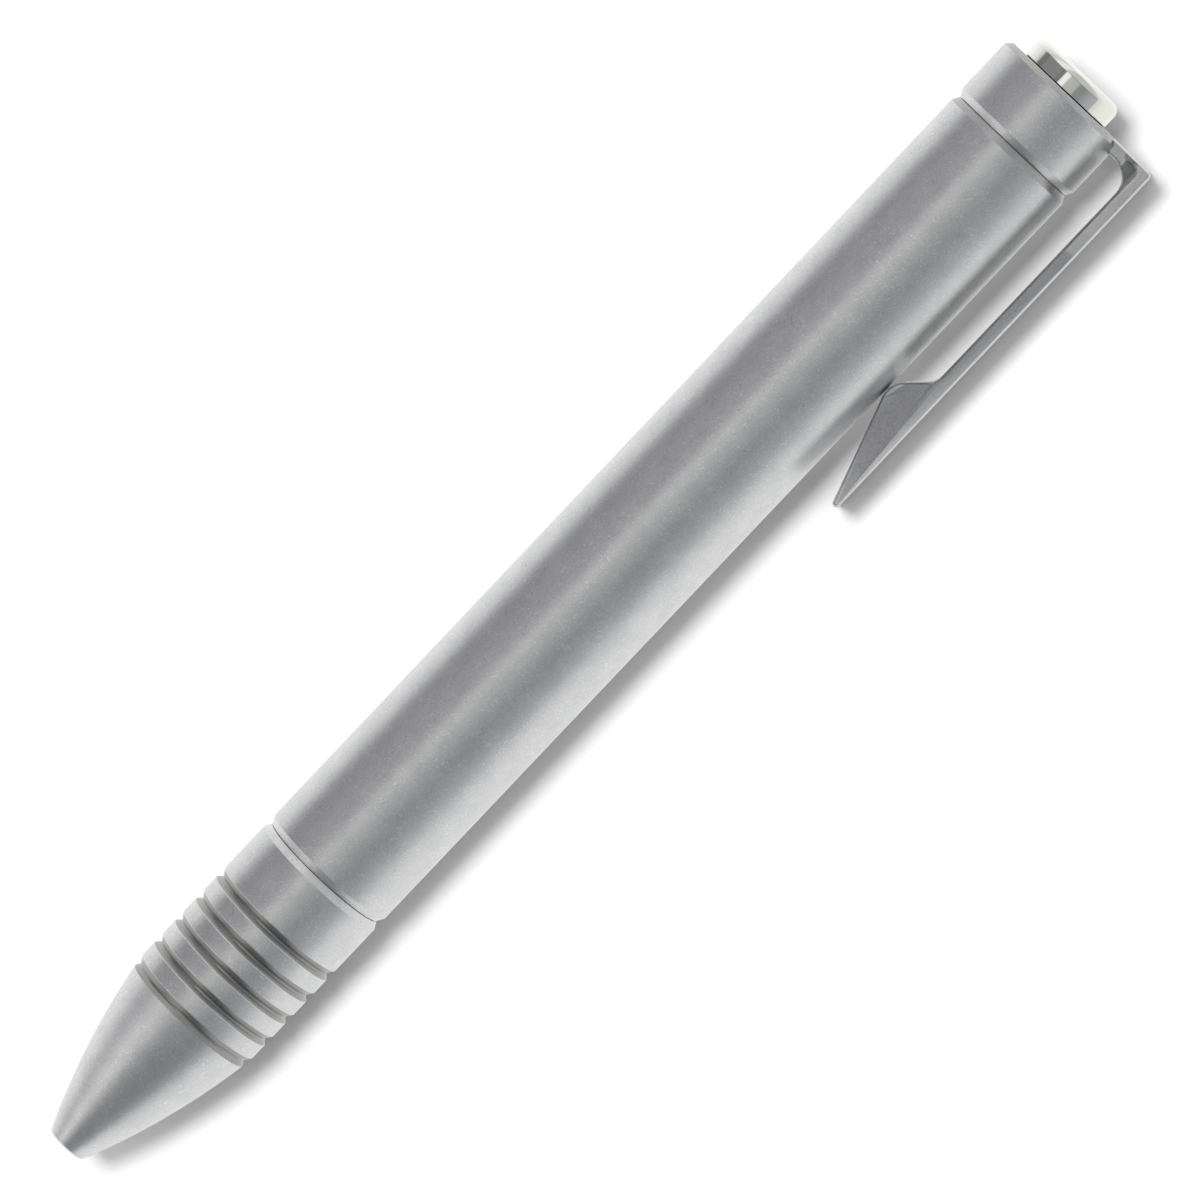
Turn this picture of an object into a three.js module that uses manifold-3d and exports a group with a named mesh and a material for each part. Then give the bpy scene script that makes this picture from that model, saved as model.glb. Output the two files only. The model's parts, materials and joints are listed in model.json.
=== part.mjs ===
// A bolt action ball pen of turned titanium, lying on a table on its barrel and its pocket clip.
// Lengths are in millimetres and angles in degrees.
// Each piece is drawn in the pen's own frame: local Y runs along the pen from the writing tip to the
// tail, local X is the direction in which the clip stands off, and local Z completes the frame.
import * as THREE from 'three';
import { mergeVertices } from 'three/addons/utils/BufferGeometryUtils.js';
import Module from 'manifold-3d';

const wasm = await Module();
wasm.setup();

// How finely round pieces are cut into flat faces
const bodyFacets = 40;
const smallFacets = 20;
const arcSteps = 8;
const ogiveSteps = 10;
const springSides = 6;
const springStepsPerTurn = 12;

// The three outer sections, end to end, and the button behind them. The pen is built around its refill:
// the barrel runs on past the refill's rear end, which leaves room for the bolt.
const barrelDiameter = 12.7;
const noseLength = 31.9;
const barrelPastRefill = 16.4;
const capLength = 6.27;
const buttonProud = 2.12;

// Each joint between two sections is a V, made of one chamfer on each section
const jointChamferLength = 0.67;
const jointChamferDepth = 0.37;
const jointGap = 0.03;

// Nose section: plain land, ring grooves, ogive to the tip
const firstGrooveFromJoint = 6.0;
const groovePitch = 2.54;
const grooveCount = 5;
const grooveWidth = 1.08;
const grooveRootWidth = 0.2;
const grooveDepth = 0.38;
const ogiveRootStep = 0.15;
const ogiveArcRadius = 63.5;
const tipDiameter = 3.56;
const tipEdgeChamfer = 0.16;
const tipHoleClearance = 0.15;
const springSeatFromTip = 3.5;
const refillBoreClearance = 0.25;
const refillNeckClearance = 0.2;
const refillShoulderClearance = 0.4;
const noseSpigotLength = 8.0;
const spigotEdgeChamfer = 0.4;

// Rubber rings: each lies in a groove, and its cord fills the space there but for the seal gap
const sealGrooveWidth = 1.1;
const sealGrooveDepth = 0.65;
const noseSealFromJoint = 0.8;
const boltSealFromFront = 4.6;
const sealGap = 0.03;
const sealFacets = 10;

// Barrel walls round the nose's spigot, the bolt and the cap's spigot, and the bore round the refill.
// The bolt's bore starts a little ahead of where the bolt's front comes at full stroke.
const noseSocketWall = 1.2;
const boltBoreWall = 1.47;
const capSocketWall = 1.0;
const refillTubeClearance = 0.55;
const boltBoreRunOn = 1.35;
const spigotClearance = 0.05;
const spigotEndClearance = 0.4;
const runningClearance = 0.08;

// Tail cap
const capEndChamfer = 0.5;
const capSpigotLength = 5.0;
const capBoreClearance = 0.1;

// Bolt: a rod that slides and turns in the barrel, with a polished end that is the tail button
const boltShoulderStep = 0.3;
const buttonEdgeRadius = 1.0;
const boltShoulderClearance = 0.3;
const refillSocketDepth = 2.8;
const refillSeatGap = 0.05;
const refillSocketClearance = 0.25;
const boltFrontChamfer = 0.3;

// Bolt handle, standing out through the slot in the barrel
const boltStroke = 4.5;
const boltLockTurn = 35;
const handleFromClip = 235;
const handleFromBarrelTail = 7.7;
const handleStemDiameter = 2.4;
const handleKnobDiameter = 3.5;
const handleKnobHeight = 2.15;
const handleKnobEdge = 0.35;
const handleKnobGap = 0.25;
const handleStemDepth = 2.4;
const handleHoleClearance = 0.06;
const handleHoleOvershoot = 0.3;
const slotClearance = 0.2;

// Pocket clip, drawn in profile: distances off the barrel's surface, and along it from the cap's end
const clipGap = 2.57;
const clipThickness = 1.25;
const clipWidth = 6.0;
const clipArmWidth = 3.2;
const clipArmFlareRadius = 1.45;
const clipCornerRadius = 0.5;
const clipInnerCornerRadius = 2.05;
const clipEdgeChamfer = 0.2;
const clipFootCrestRadius = 2.1;
const clipFootFromCapEnd = 28.2;
const clipFootGap = 0.05;
const clipFootSlope = 45;
const clipFootRootRadius = 1.47;
const clipLength = 38.2;
const clipEndRadius = 0.33;
const clipTangGap = 0.25;
const clipTangClearance = 0.06;
const clipPinDiameter = 0.8;
const clipPinSpacing = 1.9;
const clipPinLength = 3.9;
const clipPinSunk = 0.1;
const clipPinClearance = 0.05;

// Refill: a common metal ball pen refill, its ball set back inside the nose
const refillLength = 98.1;
const refillSetBack = 1.2;
const refillDiameter = 5.9;
const refillNeckDiameter = 4.4;
const refillNeckLength = 2.0;
const refillShoulderLength = 1.0;
const refillTubeWall = 0.35;
const refillTipDiameter = 2.3;
const refillTipLength = 10.4;
const refillTipConeLength = 2.6;
const refillTipNoseDiameter = 1.24;
const refillTipShankLength = 2.2;
const refillTipClearance = 0.05;
const inkChannelDiameter = 0.6;
const ballDiameter = 1.0;
const ballProud = 0.3;
const ballClearance = 0.03;
const refillPlugLength = 6.4;
const refillPlugStep = 0.15;
const refillPlugShankLength = 3.0;
const refillPlugClearance = 0.05;
const refillPlugVentDiameter = 1.2;
const refillPlugVentDepth = 4.0;
const refillPlugCrownDepth = 0.8;

// Return spring
const springWire = 0.4;
const springSideClearance = 0.3;
const springTurns = 6;
const springEndGap = 0.06;

// Cutting tools run past the faces that they cut by this much
const overrun = 1.0;

const degrees = Math.PI / 180;

// Stations along the pen, from the writing tip
const noseJoint = noseLength;
const refillFront = refillSetBack;
const refillNeckStation = refillFront + refillTipLength;
const refillRear = refillFront + refillLength;
const capJoint = refillRear + barrelPastRefill;
const capEnd = capJoint + capLength;
const buttonEnd = capEnd + buttonProud;
const boltFront = refillRear + refillSeatGap - refillSocketDepth;
const handleStation = capJoint - handleFromBarrelTail;

// Radii that several pieces share
const barrelRadius = barrelDiameter / 2;
const boltBoreRadius = barrelRadius - boltBoreWall;
const boltRadius = boltBoreRadius - runningClearance;
const buttonRadius = boltRadius - boltShoulderStep;
const capBoreRadius = buttonRadius + capBoreClearance;
const capSocketRadius = barrelRadius - capSocketWall;
const noseSocketRadius = barrelRadius - noseSocketWall;
const noseSpigotRadius = noseSocketRadius - spigotClearance;
const refillRadius = refillDiameter / 2;
const refillPlugRadius = refillRadius - refillPlugStep;
const springBoreRadius = refillNeckDiameter / 2 + refillNeckClearance;

// Clip places: its outer and inner faces from the pen's axis, its half width, and its pins
const clipOuter = barrelRadius + clipGap + clipThickness;
const clipInner = barrelRadius + clipGap;
const clipHalfWidth = clipWidth / 2;
const clipPinOut = (capBoreRadius + barrelRadius) / 2;

// The pen lies on its barrel and on one edge of the clip: this roll brings both to the same height
const clipEdgeOut = clipOuter - clipEdgeChamfer;
const clipEdgeReach = Math.hypot(clipEdgeOut, clipHalfWidth);
const clipRoll = Math.asin(barrelRadius / clipEdgeReach) - Math.atan2(clipHalfWidth, clipEdgeOut);

// Finishes
const titanium = new THREE.MeshStandardMaterial({ color: 0x9b9a98, roughness: 0.42, metalness: 1.0 });
const clipTitanium = new THREE.MeshStandardMaterial({ color: 0x969695, roughness: 0.45, metalness: 1.0 });
const polishedSteel = new THREE.MeshStandardMaterial({ color: 0xcfcfcb, roughness: 0.12, metalness: 1.0 });
const springSteel = new THREE.MeshStandardMaterial({ color: 0xb4b5b8, roughness: 0.3, metalness: 1.0 });
const nitrile = new THREE.MeshStandardMaterial({ color: 0x1b1b1c, roughness: 0.7, metalness: 0.0 });
const refillSteel = new THREE.MeshStandardMaterial({ color: 0xa9a9a6, roughness: 0.28, metalness: 1.0 });
const nickelSilver = new THREE.MeshStandardMaterial({ color: 0xb9b09c, roughness: 0.25, metalness: 1.0 });
const carbide = new THREE.MeshStandardMaterial({ color: 0x77787a, roughness: 0.1, metalness: 1.0 });
const plugPlastic = new THREE.MeshStandardMaterial({ color: 0x22345c, roughness: 0.5, metalness: 0.0 });

// Merges the shared vertices of a geometry and drops faces without area, so that it is one closed body
function closedGeometry(geometry) {
  const bare = geometry.index ? geometry.toNonIndexed() : geometry.clone();
  bare.deleteAttribute('normal');
  bare.deleteAttribute('uv');
  const merged = mergeVertices(bare);
  const faces = [];
  const index = merged.index.array;
  for (let i = 0; i < index.length; i += 3) {
    const [a, b, c] = [index[i], index[i + 1], index[i + 2]];
    if (a !== b && b !== c && c !== a) faces.push(a, b, c);
  }
  merged.setIndex(faces);
  return merged;
}

function toSolid(geometry) {
  const closed = closedGeometry(geometry);
  return new wasm.Manifold(new wasm.Mesh({
    numProp: 3,
    vertProperties: new Float32Array(closed.attributes.position.array),
    triVerts: new Uint32Array(closed.index.array),
  }));
}

function toGeometry(solid) {
  const mesh = solid.getMesh();
  const positions = new Float32Array(mesh.numVert * 3);
  for (let i = 0; i < mesh.numVert; i += 1) {
    for (let k = 0; k < 3; k += 1) positions[3 * i + k] = mesh.vertProperties[mesh.numProp * i + k];
  }
  const geometry = new THREE.BufferGeometry();
  geometry.setAttribute('position', new THREE.BufferAttribute(positions, 3));
  geometry.setIndex(new THREE.BufferAttribute(new Uint32Array(mesh.triVerts), 1));
  return geometry;
}

function cut(geometry, tools) {
  let solid = toSolid(geometry);
  for (const tool of tools) solid = solid.subtract(toSolid(tool));
  return toGeometry(solid);
}

// Turns a profile of [radius, station] points about the pen's axis; the outside runs towards the tail
function turned(profile, facets = bodyFacets) {
  const points = profile.map(([radius, station]) => new THREE.Vector2(radius, station));
  return closedGeometry(new THREE.LatheGeometry(points, facets));
}

// A tube or ring: its outside profile towards the tail, then its inside profile back again
function turnedTube(outside, inside, facets = bodyFacets) {
  return turned([...outside, ...inside, outside[0]], facets);
}

function mesh(name, geometry, material) {
  const piece = new THREE.Mesh(geometry, material);
  piece.name = name;
  return piece;
}

// Points of an arc about a centre, from one angle to another, both ends included
function arcPoints(centreX, centreY, radius, startAngle, endAngle, steps = arcSteps) {
  const points = [];
  for (let i = 0; i <= steps; i += 1) {
    const angle = startAngle + (endAngle - startAngle) * i / steps;
    points.push([centreX + radius * Math.cos(angle), centreY + radius * Math.sin(angle)]);
  }
  return points;
}

// The section of a rubber ring's cord that fills a groove cut below a bore, turned about the pen's axis
function rubberRing(grooveRadius, boreRadius, station) {
  const cordRadius = (boreRadius - grooveRadius) / 2 - sealGap;
  const middle = (boreRadius + grooveRadius) / 2;
  const section = arcPoints(middle, station, cordRadius, 0, 2 * Math.PI, sealFacets);
  section[section.length - 1] = section[0];
  return turned(section);
}

// Nose section

// The ogive from the tip to the grooves: one arc through both ends, bulging outwards
function ogiveProfile(length) {
  const [tipRadius, rootRadius] = [tipDiameter / 2, barrelRadius - ogiveRootStep];
  const chord = Math.hypot(length, rootRadius - tipRadius);
  const chordSlope = Math.atan2(rootRadius - tipRadius, length);
  const halfTurn = Math.asin(chord / 2 / ogiveArcRadius);
  const steepest = chordSlope + halfTurn;
  const centreStation = ogiveArcRadius * Math.sin(steepest);
  const centreRadius = tipRadius - ogiveArcRadius * Math.cos(steepest);
  const points = [];
  for (let i = 0; i <= ogiveSteps; i += 1) {
    const slope = steepest - 2 * halfTurn * i / ogiveSteps;
    const radius = centreRadius + ogiveArcRadius * Math.cos(slope);
    points.push([radius, centreStation - ogiveArcRadius * Math.sin(slope)]);
  }
  return points;
}

function noseProfile() {
  const grooves = [];
  for (let i = grooveCount - 1; i >= 0; i -= 1) {
    const station = noseJoint - firstGrooveFromJoint - i * groovePitch;
    const rootRadius = barrelRadius - grooveDepth;
    if (i < grooveCount - 1) grooves.push([barrelRadius, station - grooveWidth / 2]);
    grooves.push([rootRadius, station - grooveRootWidth / 2]);
    grooves.push([rootRadius, station + grooveRootWidth / 2]);
    grooves.push([barrelRadius, station + grooveWidth / 2]);
  }
  const lastGroove = noseJoint - firstGrooveFromJoint - (grooveCount - 1) * groovePitch;
  const ogive = ogiveProfile(lastGroove - grooveWidth / 2);
  const sealStation = noseJoint + noseSealFromJoint + sealGrooveWidth / 2;
  const sealRadius = noseSpigotRadius - sealGrooveDepth;
  const spigotEnd = noseJoint + noseSpigotLength;
  return [
    [tipDiameter / 2 - tipEdgeChamfer, 0],
    [ogive[0][0] + (ogive[1][0] - ogive[0][0]) * tipEdgeChamfer / ogive[1][1], tipEdgeChamfer],
    ...ogive.slice(1),
    ...grooves,
    [barrelRadius, noseJoint - jointChamferLength],
    [barrelRadius - jointChamferDepth, noseJoint - jointGap / 2],
    [noseSpigotRadius, noseJoint - jointGap / 2],
    [noseSpigotRadius, sealStation - sealGrooveWidth / 2],
    [sealRadius, sealStation - sealGrooveWidth / 2],
    [sealRadius, sealStation + sealGrooveWidth / 2],
    [noseSpigotRadius, sealStation + sealGrooveWidth / 2],
    [noseSpigotRadius, spigotEnd - spigotEdgeChamfer],
    [noseSpigotRadius - spigotEdgeChamfer, spigotEnd],
  ];
}

function noseSection() {
  const refillBoreRadius = refillRadius + refillBoreClearance;
  const tipHoleRadius = refillTipDiameter / 2 + tipHoleClearance;
  const seatCone = refillBoreRadius - springBoreRadius;
  const seatStation = refillNeckStation + refillNeckLength - boltStroke - refillShoulderClearance;
  const inside = [
    [refillBoreRadius, noseJoint + noseSpigotLength],
    [refillBoreRadius, seatStation + seatCone],
    [springBoreRadius, seatStation],
    [springBoreRadius, springSeatFromTip],
    [tipHoleRadius, springSeatFromTip],
    [tipHoleRadius, 0],
  ];
  return mesh('nose_section', turnedTube(noseProfile(), inside), titanium);
}

function noseORing() {
  const station = noseJoint + noseSealFromJoint + sealGrooveWidth / 2;
  const ring = rubberRing(noseSpigotRadius - sealGrooveDepth, noseSocketRadius, station);
  return mesh('nose_o_ring', ring, nitrile);
}

// Barrel

// A bar along local X from the pen's axis out past the barrel, round in section, that cuts the slot's ends
function slotEndCutter(radius, station, turn) {
  const reach = barrelRadius + overrun;
  const cutter = new THREE.CylinderGeometry(radius, radius, reach, smallFacets);
  cutter.rotateZ(-Math.PI / 2);
  cutter.translate(reach / 2, station, 0);
  cutter.rotateY(turn);
  return cutter;
}

// The slot is C shaped: a channel along the pen, and at each end a notch that the handle turns into
function slotCutters() {
  const slotRadius = handleStemDiameter / 2 + slotClearance;
  const reach = barrelRadius + overrun;
  const stations = [handleStation, handleStation - boltStroke];
  const lockTurn = boltLockTurn * degrees;
  const channel = new THREE.BoxGeometry(reach, boltStroke, 2 * slotRadius);
  channel.translate(reach / 2, handleStation - boltStroke / 2, 0);
  const cutters = [channel];
  for (const station of stations) {
    const sector = new THREE.Shape();
    sector.moveTo(0, 0);
    for (const [x, y] of arcPoints(0, 0, reach, 0, lockTurn)) sector.lineTo(x, y);
    const notch = new THREE.ExtrudeGeometry(sector, { depth: 2 * slotRadius, bevelEnabled: false });
    notch.rotateX(-Math.PI / 2);
    notch.translate(0, station - slotRadius, 0);
    cutters.push(notch, slotEndCutter(slotRadius, station, 0), slotEndCutter(slotRadius, station, lockTurn));
  }
  for (const cutter of cutters) cutter.rotateY(-handleFromClip * degrees);
  return cutters;
}

function barrel() {
  const refillTubeRadius = refillRadius + refillTubeClearance;
  const boltBoreEnd = boltFront - boltStroke - boltBoreRunOn;
  const noseSocketEnd = noseJoint + noseSpigotLength + spigotEndClearance;
  const outside = [
    [barrelRadius - jointChamferDepth, noseJoint + jointGap / 2],
    [barrelRadius, noseJoint + jointChamferLength],
    [barrelRadius, capJoint - jointChamferLength],
    [barrelRadius - jointChamferDepth, capJoint - jointGap / 2],
  ];
  const inside = [
    [capSocketRadius, capJoint - jointGap / 2],
    [capSocketRadius, capJoint - capSpigotLength - spigotEndClearance],
    [boltBoreRadius, capJoint - capSpigotLength - spigotEndClearance],
    [boltBoreRadius, boltBoreEnd],
    [refillTubeRadius, boltBoreEnd],
    [refillTubeRadius, noseSocketEnd],
    [noseSocketRadius, noseSocketEnd],
    [noseSocketRadius, noseJoint + jointGap / 2],
  ];
  return mesh('barrel', cut(turnedTube(outside, inside), slotCutters()), titanium);
}

// Tail cap

function clipPinPlaces() {
  return [clipPinSpacing / 2, -clipPinSpacing / 2].map((side) => [clipPinOut, side]);
}

// A pin hole along the pen, from past the cap's end to the depth of the pin
function clipPinHoles(radius, depth) {
  return clipPinPlaces().map(([out, side]) => {
    const hole = new THREE.CylinderGeometry(radius, radius, depth + overrun, smallFacets);
    hole.translate(out, capEnd + overrun / 2 - depth / 2, side);
    return hole;
  });
}

function tailCap() {
  const spigotRadius = capSocketRadius - spigotClearance;
  const spigotEnd = capJoint - capSpigotLength;
  const outside = [
    [spigotRadius - capBoreClearance, spigotEnd],
    [spigotRadius, spigotEnd + capBoreClearance],
    [spigotRadius, capJoint + jointGap / 2],
    [barrelRadius - jointChamferDepth, capJoint + jointGap / 2],
    [barrelRadius, capJoint + jointChamferLength],
    [barrelRadius, capEnd - capEndChamfer],
    [barrelRadius - capEndChamfer, capEnd],
  ];
  const inside = [
    [capBoreRadius, capEnd],
    [capBoreRadius, spigotEnd],
  ];
  const tangSlot = new THREE.BoxGeometry(
    barrelRadius + overrun,
    clipThickness + clipTangClearance + overrun,
    clipArmWidth + 2 * clipTangClearance,
  );
  tangSlot.translate(
    (barrelRadius + overrun) / 2,
    capEnd + (overrun - clipThickness - clipTangClearance) / 2,
    0,
  );
  const holes = clipPinHoles(clipPinDiameter / 2 + clipPinClearance, clipPinLength + clipPinSunk + clipPinClearance);
  return mesh('tail_cap', cut(turnedTube(outside, inside), [tangSlot, ...holes]), titanium);
}

// Pocket clip

// The strip and foot in profile: x off the pen's axis, y along the pen, from the cap's end to the clip's end
function clipStripProfile() {
  const clipEnd = capEnd - clipLength;
  const crestX = barrelRadius + clipFootGap + clipFootCrestRadius;
  const crestY = capEnd - clipFootFromCapEnd;
  const endX = clipOuter - clipEndRadius;
  const endY = clipEnd + clipEndRadius;
  const slope = clipFootSlope * degrees;

  // The straight taper touches the crest's arc and the end's arc on the barrel's side
  const centreLine = Math.atan2(endX - crestX, crestY - endY);
  const span = Math.hypot(endX - crestX, crestY - endY);
  const taper = centreLine + Math.asin((clipFootCrestRadius - clipEndRadius) / span);

  // The slope towards the strip, and the small arc where it meets the strip's inner face
  const slopeX = crestX - clipFootCrestRadius * Math.cos(slope);
  const slopeY = crestY + clipFootCrestRadius * Math.sin(slope);
  const cornerY = slopeY + (clipInner - slopeX) / Math.tan(slope);
  const rootY = cornerY + clipFootRootRadius * Math.tan(slope / 2);
  const rootX = clipInner - clipFootRootRadius;

  return [
    [clipInner, capEnd],
    ...arcPoints(rootX, rootY, clipFootRootRadius, 0, -slope),
    ...arcPoints(crestX, crestY, clipFootCrestRadius, Math.PI - slope, Math.PI + taper),
    ...arcPoints(endX, endY, clipEndRadius, Math.PI + taper, 2 * Math.PI),
    ...arcPoints(clipOuter - clipCornerRadius, capEnd - clipCornerRadius, clipCornerRadius, 0, Math.PI / 2),
  ];
}

// The arm in profile, with the web in its inner corner; its far end lies inside the strip
function clipArmProfile() {
  const tangEnd = buttonRadius + clipTangGap;
  const armUnder = capEnd - clipThickness;
  const insideStrip = clipOuter - clipThickness / 2;
  return [
    [tangEnd, capEnd],
    [tangEnd, armUnder],
    ...arcPoints(
      clipInner - clipInnerCornerRadius,
      armUnder - clipInnerCornerRadius,
      clipInnerCornerRadius,
      Math.PI / 2,
      0,
    ),
    [insideStrip, armUnder - clipInnerCornerRadius],
    [insideStrip, capEnd],
  ];
}

// The arm from the cap's end: straight sides that flare out to the strip's full width
function clipArmPlan() {
  const step = (clipWidth - clipArmWidth) / 2;
  const flareRun = Math.sqrt(clipArmFlareRadius ** 2 - (clipArmFlareRadius - step) ** 2);
  const flareTurn = Math.acos((clipArmFlareRadius - step) / clipArmFlareRadius);
  const flareX = clipInner - flareRun;
  const flareCentre = clipArmWidth / 2 + clipArmFlareRadius;
  const side = arcPoints(flareX, flareCentre, clipArmFlareRadius, -Math.PI / 2, flareTurn - Math.PI / 2);
  const half = [[0, clipArmWidth / 2], ...side, [clipOuter, clipHalfWidth]];
  return [...half.map(([x, z]) => [x, -z]), ...half.reverse()];
}

function shapeOf(points) {
  return new THREE.Shape(points.map(([x, y]) => new THREE.Vector2(x, y)));
}

// A profile as wide as the clip, with a chamfer along both of its edges
function clipPlate(profile) {
  const plate = new THREE.ExtrudeGeometry(shapeOf(profile), {
    depth: clipWidth - 2 * clipEdgeChamfer,
    bevelEnabled: true,
    bevelThickness: clipEdgeChamfer,
    bevelSize: clipEdgeChamfer,
    bevelOffset: -clipEdgeChamfer,
    bevelSegments: 1,
  });
  plate.translate(0, 0, clipEdgeChamfer - clipHalfWidth);
  return plate;
}

function pocketClip() {
  const strip = clipPlate(clipStripProfile());
  const arm = clipPlate(clipArmProfile());
  const plan = new THREE.ExtrudeGeometry(shapeOf(clipArmPlan()), { depth: clipLength, bevelEnabled: false });
  plan.rotateX(Math.PI / 2);
  plan.translate(0, capEnd, 0);
  const body = toSolid(arm).intersect(toSolid(plan)).add(toSolid(strip));
  const holes = clipPinHoles(clipPinDiameter / 2 + clipPinClearance, clipThickness + overrun);
  const whole = holes.reduce((solid, hole) => solid.subtract(toSolid(hole)), body);
  return mesh('pocket_clip', toGeometry(whole), clipTitanium);
}

function clipPins() {
  const names = ['clip_pin_left', 'clip_pin_right'];
  return clipPinPlaces().map(([out, side], i) => {
    const pin = new THREE.CylinderGeometry(clipPinDiameter / 2, clipPinDiameter / 2, clipPinLength, smallFacets);
    const piece = mesh(names[i], closedGeometry(pin), polishedSteel);
    piece.position.set(out, capEnd - clipPinSunk - clipPinLength / 2, side);
    return piece;
  });
}

// Bolt

function boltBody() {
  const shoulder = capJoint - capSpigotLength - boltShoulderClearance;
  const sealStation = boltFront + boltSealFromFront;
  const sealRadius = boltRadius - sealGrooveDepth;
  const socketRadius = refillPlugRadius + refillSocketClearance;
  const profile = [
    [0, boltFront + refillSocketDepth],
    [socketRadius, boltFront + refillSocketDepth],
    [socketRadius, boltFront],
    [boltRadius - boltFrontChamfer, boltFront],
    [boltRadius, boltFront + boltFrontChamfer],
    [boltRadius, sealStation - sealGrooveWidth / 2],
    [sealRadius, sealStation - sealGrooveWidth / 2],
    [sealRadius, sealStation + sealGrooveWidth / 2],
    [boltRadius, sealStation + sealGrooveWidth / 2],
    [boltRadius, shoulder],
    [buttonRadius, shoulder],
    ...arcPoints(buttonRadius - buttonEdgeRadius, buttonEnd - buttonEdgeRadius, buttonEdgeRadius, 0, Math.PI / 2),
    [0, buttonEnd],
  ];
  const holeRadius = handleStemDiameter / 2 + handleHoleClearance;
  const holeReach = handleStemDepth + handleHoleOvershoot + overrun;
  const hole = new THREE.CylinderGeometry(holeRadius, holeRadius, holeReach, smallFacets);
  hole.rotateZ(-Math.PI / 2);
  hole.translate(boltRadius + overrun - holeReach / 2, handleStation, 0);
  hole.rotateY(-handleFromClip * degrees);
  return mesh('bolt_body', cut(turned(profile), [hole]), polishedSteel);
}

function boltORing() {
  const ring = rubberRing(boltRadius - sealGrooveDepth, boltBoreRadius, boltFront + boltSealFromFront);
  return mesh('bolt_o_ring', ring, nitrile);
}

// The handle is turned about its own axis, which is local Y here, and then laid along its direction
function boltHandle() {
  const stemRadius = handleStemDiameter / 2;
  const knobRadius = handleKnobDiameter / 2;
  const knobFoot = barrelRadius + handleKnobGap;
  const knobTop = knobFoot + handleKnobHeight;
  const profile = [
    [0, boltRadius - handleStemDepth],
    [stemRadius, boltRadius - handleStemDepth],
    [stemRadius, knobFoot],
    [knobRadius - handleKnobEdge, knobFoot],
    [knobRadius, knobFoot + handleKnobEdge],
    [knobRadius, knobTop - handleKnobEdge],
    [knobRadius - handleKnobEdge, knobTop],
    [0, knobTop],
  ];
  const geometry = turned(profile, smallFacets);
  geometry.rotateZ(-Math.PI / 2);
  const piece = mesh('bolt_handle', geometry, polishedSteel);
  piece.position.y = handleStation;
  piece.rotation.y = -handleFromClip * degrees;
  return piece;
}

// Refill and spring

function refillBody() {
  const neckRadius = refillNeckDiameter / 2;
  const shankRadius = refillTipDiameter / 2 + refillTipClearance;
  const inkRadius = refillRadius - refillTubeWall;
  const shoulderStart = refillNeckStation + refillNeckLength;
  const tubeStart = shoulderStart + refillShoulderLength;
  const tubeEnd = refillRear - refillPlugLength;
  const outside = [
    [neckRadius, refillNeckStation],
    [neckRadius, shoulderStart],
    [refillRadius, tubeStart],
    [refillRadius, tubeEnd],
  ];
  const inside = [
    [inkRadius, tubeEnd],
    [inkRadius, tubeStart + refillTubeWall],
    [shankRadius, shoulderStart + refillShoulderLength / 2],
    [shankRadius, refillNeckStation],
  ];
  return mesh('refill_body', turnedTube(outside, inside), refillSteel);
}

function refillTip() {
  const cupRadius = ballDiameter / 2 + ballClearance;
  const channelRadius = inkChannelDiameter / 2;
  const front = refillFront + ballProud;
  const cupFloor = refillFront + ballDiameter + ballClearance;
  const rear = refillNeckStation + refillTipShankLength;
  const outside = [
    [refillTipNoseDiameter / 2, front],
    [refillTipDiameter / 2, front + refillTipConeLength],
    [refillTipDiameter / 2, rear],
  ];
  const inside = [
    [channelRadius, rear],
    [channelRadius, cupFloor],
    [cupRadius, cupFloor],
    [cupRadius, front],
  ];
  return mesh('refill_tip', turnedTube(outside, inside, smallFacets), nickelSilver);
}

function refillBall() {
  const radius = ballDiameter / 2;
  const profile = arcPoints(0, refillFront + radius, radius, -Math.PI / 2, Math.PI / 2);
  profile[0][0] = 0;
  profile[profile.length - 1][0] = 0;
  return mesh('refill_ball', turned(profile, smallFacets), carbide);
}

function refillPlug() {
  const shankRadius = refillRadius - refillTubeWall - refillPlugClearance;
  const ventRadius = refillPlugVentDiameter / 2;
  const flange = refillRear - refillPlugLength + refillPlugClearance;
  const profile = [
    [0, flange - refillPlugShankLength],
    [shankRadius, flange - refillPlugShankLength],
    [shankRadius, flange],
    [refillPlugRadius, flange],
    [refillPlugRadius, refillRear - refillPlugCrownDepth],
    [refillPlugRadius - refillPlugCrownDepth / 2, refillRear],
    [ventRadius, refillRear],
    [ventRadius, refillRear - refillPlugVentDepth],
    [0, refillRear - refillPlugVentDepth],
  ];
  return mesh('refill_plug', turned(profile, smallFacets), plugPlastic);
}

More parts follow.
